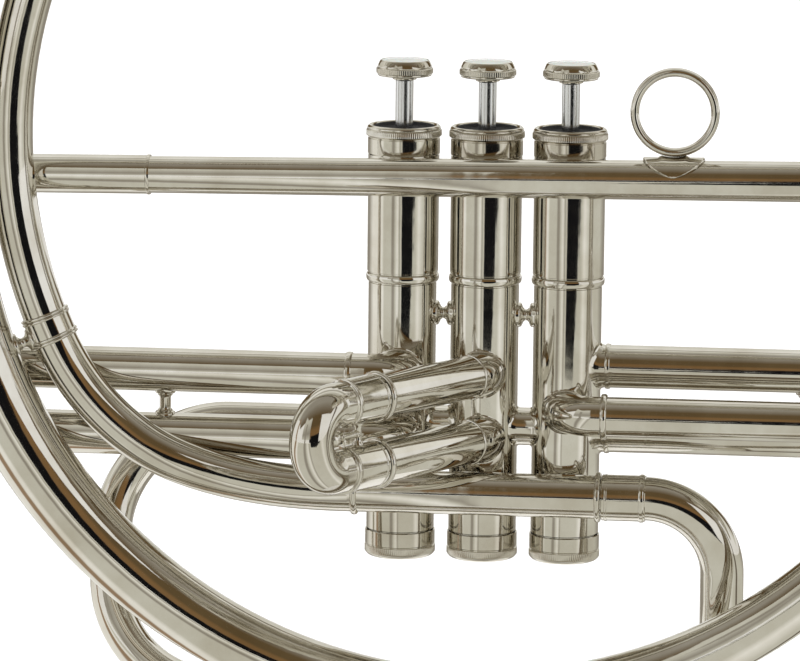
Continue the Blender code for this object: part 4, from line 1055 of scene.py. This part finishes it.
def slide_bow(node, mouth, across, heading, bend, sleeve, leg, side_ref=AXIS_Y, lead=0.0):
    """A slide's moving part: inner leg, sleeve, bow, sleeve and inner leg in one run."""
    heading = Vector(heading).normalized()
    across = Vector(across)
    turn_axis = heading.cross(across).normalized()
    path = Path(Vector(mouth) + heading * (GAP - leg), heading)
    path.line(leg + sleeve + lead)
    path.arc(90, bend, turn_axis)
    straight = across.length - 2 * bend
    if straight > GAP:
        path.line(straight, 4)
    path.arc(90, bend, turn_axis)
    path.line(sleeve + leg + lead)
    path.settle(side_ref)
    edge = 0.2 * MM
    base = SLEEVE_R
    ring = 1.5 * MM
    entry = [(0.0, INNER_LEG_R - edge), (edge, INNER_LEG_R), (leg, INNER_LEG_R),
             (leg, base - edge), (leg + edge, base)]
    entry += [(leg + s, base + rise) for s, rise in bead(1.3 * MM, 0.8 * MM, 0.0, 0.14 * MM)]
    band = sleeve - ring - 0.5 * MM
    entry += [(leg + band + s, base + rise) for s, rise in roll(ring, 0.34 * MM)]
    entry += [(leg + sleeve - edge, base), (leg + sleeve, BOW_R)]
    total = path.length
    outer = entry + [(s, BOW_R) for s in stations(path, leg + sleeve, total - leg - sleeve)]
    outer += [(total - s, r) for s, r in entry[::-1]]
    leg_bore = INNER_LEG_R - TUBE_WALL
    inner = [(total, leg_bore), (total - leg - sleeve, leg_bore)]
    inner += [(s, BOW_BORE_R) for s in stations(path, leg + sleeve, total - leg - sleeve)[::-1]]
    inner += [(leg + sleeve, leg_bore), (0.0, leg_bore)]
    add_piece(node + "_tube", sweep(path, outer + inner), node)


def make_first_slide():
    """The slide at the left, with a thin ring round each fixed leg."""
    y = FRONT_LEG_Y
    for side, z in (("upper", PORT_UPPER_Z), ("lower", PORT_LOWER_Z)):
        path = Path((VALVE_X[1], y + ELBOW_RADIUS + ELBOW_STUB, z), -AXIS_Y)
        path.line(ELBOW_STUB).arc(-90, ELBOW_RADIUS, AXIS_Z, 4)
        path.line(path.points[-1].x - FIRST_END_X, 6)
        ring_at = path.distances()[-1] - (FIRST_RING_X - FIRST_END_X)
        tube("first_leg_" + side, path, OUTER_LEG_R, end=END_RING, side_ref=AXIS_Z,
             foot=(VALVE_X[1], FIRST_CLEAR), rings=[(ring_at, THIN_RING, FIRST_RING_RISE)])
    upper = Vector((FIRST_END_X, y, PORT_UPPER_Z))
    slide_bow("first_bow", upper, -AXIS_Z * PORT_SPACING, -AXIS_X, PORT_SPACING / 2,
              FIRST_SLEEVE, FIRST_LEG)


def make_second_slide():
    """The angled slide, with the stay and the pull knob between its sleeves."""
    heading = Vector((-cos(SECOND_ANGLE), -sin(SECOND_ANGLE), 0))
    mouths = []
    for side, z in (("upper", PORT_UPPER_Z), ("lower", PORT_LOWER_Z)):
        path = Path((VALVE_X[2], SECOND_SOCKET_DEPTH - LOWER_CASING_R, z), -AXIS_Y)
        path.line(0.6 * SECOND_SOCKET_DEPTH)
        path.arc(degrees(SECOND_ANGLE) - 90, SECOND_KNUCKLE_R, AXIS_Z, 3)
        path.line(SECOND_LEG_LENGTH, 4)
        mouths.append(path.points[-1].copy())
        tube("second_leg_" + side, path, OUTER_LEG_R, end=END_RING, side_ref=AXIS_Z,
             foot=(VALVE_X[2], SECOND_CLEAR), rings=[SECOND_COLLAR])
    bend = PORT_SPACING / 2
    across = -AXIS_Z * PORT_SPACING
    slide_bow("second_bow", mouths[0], across, heading, bend, SECOND_SLEEVE, SECOND_INNER_LEG,
              AXIS_Z, SECOND_BOW_LEAD)
    middle = mouths[0] + across / 2 + heading * (SECOND_SLEEVE / 2)
    low = middle - AXIS_Z * bend
    high = middle + AXIS_Z * bend
    flare = 0.7 * MM
    span = PORT_SPACING - 2 * SLEEVE_R
    foot = flare / span
    strut("second_stay", low, high, SLEEVE_R, SLEEVE_R, heading,
          both_ends([(0.0, 0.0), (0.0, STAY_R + flare), (0.1 * foot, STAY_R + flare),
                     (foot, STAY_R + 0.3 * flare), (2 * foot, STAY_R)]))
    make_pull_knob(middle, heading, bend)


def make_pull_knob(middle, heading, bend):
    """The knob on the second slide's stay, a ball on a short collared stem."""
    ball = SECOND_SLEEVE / 2 + SECOND_BOW_LEAD + bend - BOW_R - GAP - KNOB_R
    collar = ball - KNOB_R - 0.4 * MM
    profile = [(0.0, STAY_R * 0.3), (KNOB_STEM_R + 0.3 * MM, STAY_R * 0.3)]
    profile += near(KNOB_STEM_R, STAY_R, (0.3, 0), (0, 0.6)) + near(KNOB_STEM_R, collar, (0, -0.2))
    profile.append((KNOB_COLLAR_R * 0.7, collar))
    profile += near(KNOB_COLLAR_R, collar, (0, 0.2), (0, 0.5))
    profile.append((KNOB_COLLAR_R * 0.7, collar + 0.75 * MM))
    steps = 14
    neck_angle = -58
    for i in range(steps):
        a = radians(neck_angle + (90 - neck_angle) * i / steps)
        profile.append((KNOB_R * cos(a), ball + KNOB_R * sin(a)))
    profile.append((0.0, ball + KNOB_R))
    lathe("second_knob", "second_stay", profile, middle, heading, sides=48)


def make_third_slide():
    """The long slide at the right, with a collar at the casing."""
    start = VALVE_X[3] + 0.7 * LOWER_CASING_R
    for side, z in (("upper", THIRD_UPPER_Z), ("lower", THIRD_LOWER_Z)):
        path = Path((start, 0, z), AXIS_X).line(THIRD_END_X - start, 8)
        tube("third_leg_" + side, path, OUTER_LEG_R, end=END_RING,
             foot=(VALVE_X[3], THIRD_CLEAR), rings=[THIRD_COLLAR])
    slide_bow("third_bow", (THIRD_END_X, 0, THIRD_UPPER_Z), -AXIS_Z * PORT_SPACING, AXIS_X,
              PORT_SPACING / 2, THIRD_SLEEVE, THIRD_LEG)


def make_tuning_slide():
    """The main tuning slide, whose two legs lie in different planes."""
    upper = Vector((TUNING_RING_X, FRONT_LEG_Y, TUNING_Z))
    lower = Vector((TUNING_RING_X, TUNING_LOWER_Y, TUNING_LOWER_Z))
    path = Path((BRANCH_START_X, upper.y, upper.z), AXIS_X).line(upper.x - BRANCH_START_X, 4)
    tube("tuning_leg_upper", path, OUTER_LEG_R, start=JOINT_RING, end=END_RING)
    path = Path((TUNING_LOWER_START_X, lower.y, lower.z), AXIS_X)
    path.line(lower.x - TUNING_LOWER_START_X, 6)
    tube("tuning_leg_lower", path, OUTER_LEG_R, start=FERRULE, end=END_RING)
    slide_bow("tuning_bow", upper, lower - upper, AXIS_X, TUNING_BEND_R, TUNING_SLEEVE, TUNING_LEG)


def make_left_crook():
    """From the first valve's rear port, left and down to the lower tuning leg."""
    top = Vector((CROOK_BEND_X, CROOK_TOP_Y, OUTLET_Z))
    bottom = Vector((CROOK_BEND_X, TUNING_LOWER_Y, TUNING_LOWER_Z))
    across = bottom - top
    turn_axis = (-AXIS_X).cross(across).normalized()
    path = Path((VALVE_X[1], CROOK_TOP_Y - ELBOW_RADIUS - ELBOW_STUB, OUTLET_Z), AXIS_Y)
    path.line(ELBOW_STUB).arc(90, ELBOW_RADIUS, AXIS_Z, 4)
    path.line(path.points[-1].x - CROOK_BEND_X, 3)
    path.arc(90, CROOK_BEND_R, turn_axis)
    path.line(across.length - 2 * CROOK_BEND_R, 2)
    path.arc(90, CROOK_BEND_R, turn_axis)
    path.line(TUNING_LOWER_START_X - path.points[-1].x)
    tube("left_crook", path, TUBE_R, foot=(VALVE_X[1], ELBOW_CLEAR), side_ref=AXIS_Z)


# Coil and bell

def coil_paths():
    """The coil's four tubes, from the tuning slide's end to the bell's throat."""
    branch = Path((BRANCH_START_X, FRONT_LEG_Y, TUNING_Z), -AXIS_X)
    branch.line(BRANCH_START_X - BRANCH_ARC_X, 2)
    branch.arc(BRANCH_EASE_TURN, BRANCH_EASE_R, AXIS_Y, COIL_STEP)
    branch.arc(BRANCH_TURN - BRANCH_EASE_TURN, BRANCH_ARC_R, AXIS_Y, COIL_STEP)
    branch.lean((0, INNER_COIL_Y - FRONT_LEG_Y, 0), BRANCH_LEAN_SHARE)
    inner = Path(branch.points[-1], branch.headings[-1])
    inner.arc(270 - BRANCH_TURN, INNER_COIL_R, AXIS_Y, COIL_STEP)
    inner.line(COIL_DROP)
    inner.lean((0, COIL_Y - INNER_COIL_Y, 0))
    outer = Path(inner.points[-1], (0, 0, -1))
    outer.arc(180, OUTER_COIL_R, AXIS_Y, COIL_STEP)
    outer.line(TAIL_RISE)
    tail = Path(outer.points[-1], outer.headings[-1])
    tail.arc(90, TAIL_COIL_R, AXIS_Y, COIL_STEP)
    return branch, inner, outer, tail


def make_coil():
    """The conical coil, from the first branch round to the bell's tail."""
    branch, inner, outer, tail = coil_paths()
    runs = {}
    for node, path, first, last, start in (
            ("first_branch", branch, BRANCH_R0, BRANCH_R1, ()),
            ("inner_coil", inner, BRANCH_R1, INNER_COIL_END_R, FERRULE),
            ("outer_coil", outer, INNER_COIL_END_R, OUTER_COIL_END_R, FERRULE),
            ("bell_tail", tail, OUTER_COIL_END_R, TAIL_END_R, FERRULE)):
        path.settle()
        radius = growing(first, last, path.length)
        tube(node, path, radius, BRASS_WALL, start=start, sides=COIL_SIDES)
        runs[node] = (path, radius)
    return runs


def bell_radius(x):
    """Outer radius of the flare at a distance from its throat."""
    ratio = (BELL_MOUTH_R / TAIL_END_R) ** (1 / BELL_POWER)
    reach = BELL_LENGTH * ratio / (ratio - 1)
    return TAIL_END_R * (reach / (reach - x)) ** BELL_POWER


def make_bell(throat):
    """The flare with its rolled rim, and the ferrule where it meets the tail."""
    steps = 56
    crowding = 1.8
    outer = []
    for i in range(steps + 1):
        x = BELL_LENGTH * (1 - (1 - i / steps) ** crowding)
        if x > FERRULE_LENGTH * 1.05:
            outer.append((bell_radius(x), x))
    inner = []
    for i, (r, x) in enumerate(outer):
        before = outer[max(0, i - 1)]
        after = outer[min(len(outer) - 1, i + 1)]
        run = hypot(after[0] - before[0], after[1] - before[1])
        inner.append((r - (after[1] - before[1]) / run * BRASS_WALL,
                      x + (after[0] - before[0]) / run * BRASS_WALL))
    lip_r, lip_x = outer[-1]
    centre_r = lip_r + 0.1 * MM
    rim = []
    rim_steps = 14
    rim_reach = radians(150)
    for i in range(rim_steps + 1):
        a = rim_reach * (2 * i / rim_steps - 1)
        rim.append((centre_r + BELL_RIM_R * 0.95 * cos(a), lip_x + BELL_RIM_R * 0.8 * sin(a)))
    band = [(bell_radius(d) + rise, d) for d, rise in FERRULE]
    profile = band + outer[:-1] + rim + inner[:-1][::-1] + [(TAIL_END_R - BRASS_WALL, 0.0)]
    lathe("bell_flare_shell", "bell_flare", profile, throat, AXIS_X, sides=BELL_SIDES)


# Braces

def nearest(run, place):
    """The point of a tube's centre line nearest to a place, its radius and its heading."""
    path, radius = run
    best = None
    steps = 400
    for i in range(steps + 1):
        s = path.length * i / steps
        point, heading, _ = path.at(s)
        if best is None or (point - place).length < (best[0] - place).length:
            best = (point, radius(s), heading)
    return best


def make_braces(runs):
    """Posts that hold the coil's turns and the slide legs apart."""
    for node, x, y, low, high in (
            ("first_leg_brace", FIRST_BRACE_X, FRONT_LEG_Y, PORT_LOWER_Z, PORT_UPPER_Z),
            ("third_leg_brace", THIRD_BRACE_X, 0.0, THIRD_LOWER_Z, THIRD_UPPER_Z)):
        post(node, Vector((x, y, low)), Vector((x, y, high)), OUTER_LEG_R, OUTER_LEG_R, AXIS_X,
             LEG_POST_FLANGE_R, LEG_POST_R)
    inner = runs["inner_coil"][0]
    ring = inner.points[0] + inner.headings[0] * COIL_POST_SETBACK
    out, out_r, heading = nearest(runs["outer_coil"], ring)
    ring_r = BRANCH_R1 + FERRULE_RISE * 0.5
    post("coil_brace_left", ring, out, ring_r, out_r, heading, COIL_POST_FLANGE_R, COIL_POST_R)
    tail = runs["bell_tail"][0]
    top = tail.at(tail.length * TOP_POST_SHARE)[0]
    under, _, _ = nearest(runs["inner_coil"], top)
    between = (top + under) / 2
    top, top_r, heading = nearest(runs["bell_tail"], between)
    under, under_r, _ = nearest(runs["inner_coil"], between)
    post("coil_brace_top", under, top, under_r, top_r, heading, TOP_POST_FLANGE_R, TOP_POST_R)


# Studio

FLOOR_Z = cad_bounds[0][2] - 0.5 * MM

# The few colours of the studio's cards
CARD_WHITE = (1.0, 0.99, 0.95)
CARD_CREAM = (0.68, 0.67, 0.60)
CARD_GREY = (0.36, 0.335, 0.29)
CARD_TAN = (0.38, 0.27, 0.18)
CARD_AMBER = (0.24, 0.14, 0.06)
CARD_BROWN = (0.14, 0.095, 0.045)
CARD_SHADE = (0.15, 0.12, 0.09)
CARD_BLACK = (0.008, 0.008, 0.009)

# Strips of a glow as (first degree, last degree, colour), which melt into one another.
# The degrees go up from the camera's side, and on the floor round from it.
VAULT_STRIPS = [(44, 44, CARD_BROWN), (76, 92, CARD_GREY), (107, 107, CARD_CREAM),
                (110, 110, CARD_WHITE), (113, 113, CARD_CREAM), (117, 117, CARD_GREY),
                (122, 122, CARD_WHITE), (174, 174, CARD_CREAM)]
ROOM_STRIPS = [(3, 3, CARD_SHADE), (11, 18, CARD_AMBER), (26, 47, CARD_BROWN)]
WALL_STRIPS = [(2, 2, CARD_CREAM), (14, 14, CARD_GREY), (38, 60, CARD_CREAM)]
FLOOR_STRIPS = [(-180, -140, CARD_GREY), (-115, -90, CARD_WHITE), (-87, -80, CARD_TAN),
                (-77, -71, CARD_WHITE), (-66, -41, CARD_CREAM), (-37, -32, CARD_GREY),
                (-27, -27, CARD_CREAM), (-19, -19, CARD_WHITE), (-15, -15, CARD_CREAM),
                (-13, -13, CARD_GREY), (-10, 40, CARD_CREAM), (51, 51, CARD_WHITE),
                (68, 74, CARD_CREAM), (77, 81, CARD_SHADE), (84, 115, CARD_CREAM),
                (140, 180, CARD_GREY)]


def glow(name, strips, source="Z"):
    """A card's glow, coloured in strips by its angle up or its bearing from the camera's side."""
    mat = bpy.data.materials.new(name)
    mat.use_nodes = True
    tree = mat.node_tree
    tree.nodes.clear()
    coords = tree.nodes.new("ShaderNodeTexCoord").outputs["Object"]
    split = node_in(tree, "ShaderNodeSeparateXYZ", Vector=coords).outputs
    back = maths(tree, "MULTIPLY", split["Y"], -1.0)
    angle = maths(tree, "ARCTAN2", split[source], back)
    stops = []
    for start, end, colour in strips:
        stops += [(radians(place), colour) for place in sorted({start, end})]
    first = stops[0][0]
    last = stops[-1][0]
    colours = node_in(tree, "ShaderNodeValToRGB", Fac=spread(tree, angle, 0, 1, first, last))
    elements = colours.color_ramp.elements
    for i, (bearing, colour) in enumerate(stops):
        position = (bearing - first) / (last - first)
        element = elements[i] if i < 2 else elements.new(position)
        element.position = position
        element.color = (*colour, 1)
    shine = node_in(tree, "ShaderNodeEmission", Color=colours.outputs["Color"])
    node_in(tree, "ShaderNodeOutputMaterial", Surface=shine.outputs[0])
    return mat


def even(name, colour):
    """A card's glow in one colour."""
    return glow(name, [(-180, 180, colour)])


def add_card(name, rows, material):
    """A studio card that only reflections show, turned to face the camera's side."""
    bm = bmesh.new()
    grid_into(bm, rows)
    card = mesh_object(name, bm, material)
    card.rotation_euler = (0, 0, CAMERA_AZIMUTH)
    card.visible_camera = False
    card.visible_diffuse = False
    card.visible_shadow = False


def vault_card():
    """A long vault over the object: brown above the camera and white behind."""
    radius = 3.2
    reach = 6.5
    steps = 48
    first = VAULT_STRIPS[0][0]
    last = VAULT_STRIPS[-1][1]
    rows = []
    for i in range(steps + 1):
        a = radians(first + (last - first) * i / steps)
        rows.append([(x, -radius * cos(a), radius * sin(a)) for x in (-reach, 0, reach)])
    add_card("studio_vault", rows, glow("vault_glow", VAULT_STRIPS))


def level_arc(left, right, radius, height, columns):
    """Places at one height between two bearings from the camera's."""
    sides = [radians(left + (right - left) * j / columns) for j in range(columns + 1)]
    return [(radius * sin(side), -radius * cos(side), height) for side in sides]


def upright_card(name, material, left, right, low, high, radius, lean=0.0):
    """A curved upright card between two bearings and two angles up.

    Its right side leans by a number of degrees from foot to top.
    """
    steps = 24
    columns = 12
    rows = []
    for i in range(steps + 1):
        up = radians(low + (high - low) * i / steps)
        rows.append(level_arc(left, right + lean * i / steps, radius, radius * tan(up), columns))
    add_card(name, rows, material)


def floor_mat(name, material, left, right, near_r, far_r, lift, flare=0.0):
    """A mat on the floor between two bearings. Its right side flares outwards."""
    steps = 12
    flare_steps = 4
    rows = []
    for i in range(steps + 1):
        radius = near_r + (far_r - near_r) * i / steps
        edge = right + flare * min(1.0, i / flare_steps)
        columns = max(steps, round((edge - left) / 3))
        rows.append(level_arc(left, edge, radius, FLOOR_Z + lift, columns))
    add_card(name, rows, material)


def make_cards():
    """The dark and bright shapes that polished metal needs round it."""
    black = even("camera_black", CARD_BLACK)
    wall = glow("wall_glow", WALL_STRIPS)
    screen = even("screen_glow", CARD_BROWN)
    vault_card()
    for card in (("room", glow("room_glow", ROOM_STRIPS), -13.4, 34, 3, 47, 3.0),
                 ("left_wall", wall, -50, -10.9, 2, 44, 2.8, -2.4),
                 ("far_wall", wall, -50, -14.5, 44, 60, 2.8),
                 ("camera_stand", black, -5.8, 33, -4.5, 8, 2.3),
                 ("table_edge", black, -12.4, -5.8, -3.5, 2.5, 2.3),
                 ("back_screen_a", screen, -168, -142, 4, 46, 3.1),
                 ("back_screen_b", screen, 128, 150, 4, 46, 3.1),
                 ("rail_a", even("rail_a_glow", CARD_GREY), -37, -31, -5.5, 30, 2.2),
                 ("rail_b", even("rail_b_glow", CARD_SHADE), 77, 81, -5.5, 30, 2.2),
                 ("rail_c", even("rail_c_glow", CARD_TAN), -87, -80, -5.5, 30, 2.2)):
        upright_card(*card)
    floor_mat("stand_mat", black, -5.8, 20, 0.62, 2.3, 2.0 * MM, 20)
    floor_glow = glow("floor_glow", FLOOR_STRIPS, "X")
    floor_mat("floor_glow", floor_glow, -179, 179, 0.06, 2.3, 1.0 * MM)


def make_floor():
    """A pale floor that keeps the object's shadow."""
    mat, tree, shader, coords = new_material("studio_floor")
    rays = tree.nodes.new("ShaderNodeLightPath").outputs
    seen = maths(tree, "MAXIMUM", rays["Is Camera Ray"], rays["Is Glossy Ray"])
    seen = maths(tree, "MAXIMUM", seen, rays["Is Transmission Ray"])
    pale = mixed(tree, noise_value(tree, coords, 3, 2), (0.93, 0.93, 0.925), (0.95, 0.95, 0.945))
    set_inputs(tree, shader, Base_Color=pale, Roughness=0.9, Specular_IOR_Level=0.1,
               Emission_Color=(1, 1, 1, 1), Emission_Strength=maths(tree, "MULTIPLY", seen, 0.3))
    half = 9.0
    bm = bmesh.new()
    grid_into(bm, [[(x, y, FLOOR_Z) for x in (-half, 0, half)] for y in (-half, 0, half)])
    mesh_object("studio_floor", bm, mat)


def make_world():
    """White all round: seen and reflected at full strength, and a little less as light."""
    world = bpy.data.worlds.new("studio_world")
    bpy.context.scene.world = world
    world.use_nodes = True
    tree = world.node_tree
    diffuse = tree.nodes.new("ShaderNodeLightPath").outputs["Is Diffuse Ray"]
    set_inputs(tree, tree.nodes["Background"], Color=(1, 1, 1, 1),
               Strength=spread(tree, diffuse, 1.0, 0.75, 0, 1))


def make_lamp():
    """One broad soft lamp over and behind the object."""
    lamp = bpy.data.lights.new("soft_box", "AREA")
    lamp.shape = "RECTANGLE"
    lamp.size = 1.6
    lamp.size_y = 0.9
    lamp.energy = 14
    lamp.color = (1.0, 0.98, 0.95)
    obj = bpy.data.objects.new("soft_box", lamp)
    obj.location = (0.3, 0.9, 1.8)
    obj.rotation_euler = Vector(obj.location).to_track_quat("Z", "Y").to_euler()
    obj.visible_glossy = False
    bpy.context.scene.collection.objects.link(obj)


def make_camera():
    """The camera at the photograph's place, which puts the frame's origin on its pixel."""
    data = bpy.data.cameras.new("photo_camera")
    data.sensor_width = SENSOR
    data.lens = FOCAL_PIXELS * SENSOR / PHOTO_WIDTH
    data.clip_end = CLIP_END
    turn = (Matrix.Rotation(CAMERA_AZIMUTH, 4, AXIS_Z)
            @ Matrix.Rotation(pi / 2 - CAMERA_ELEVATION, 4, AXIS_X)
            @ Matrix.Rotation(-CAMERA_ROLL, 4, AXIS_Z))
    u = ORIGIN_PIXEL[0] - PHOTO_WIDTH / 2
    v = PHOTO_HEIGHT / 2 - ORIGIN_PIXEL[1]
    place = turn @ Vector((-u, -v, FOCAL_PIXELS)) / PIXELS_PER_METRE
    camera = bpy.data.objects.new("photo_camera", data)
    camera.matrix_world = Matrix.Translation(place) @ turn
    bpy.context.scene.collection.objects.link(camera)
    bpy.context.scene.camera = camera


make_camera()
make_valves()
make_receiver()
make_leadpipe()
make_finger_ring()
make_first_slide()
make_second_slide()
make_third_slide()
make_tuning_slide()
make_left_crook()
coil_runs = make_coil()
make_bell(coil_runs["bell_tail"][0].points[-1])
make_braces(coil_runs)
make_floor()
make_cards()
make_world()
make_lamp()
bpy.context.scene.view_settings.view_transform = "Standard"
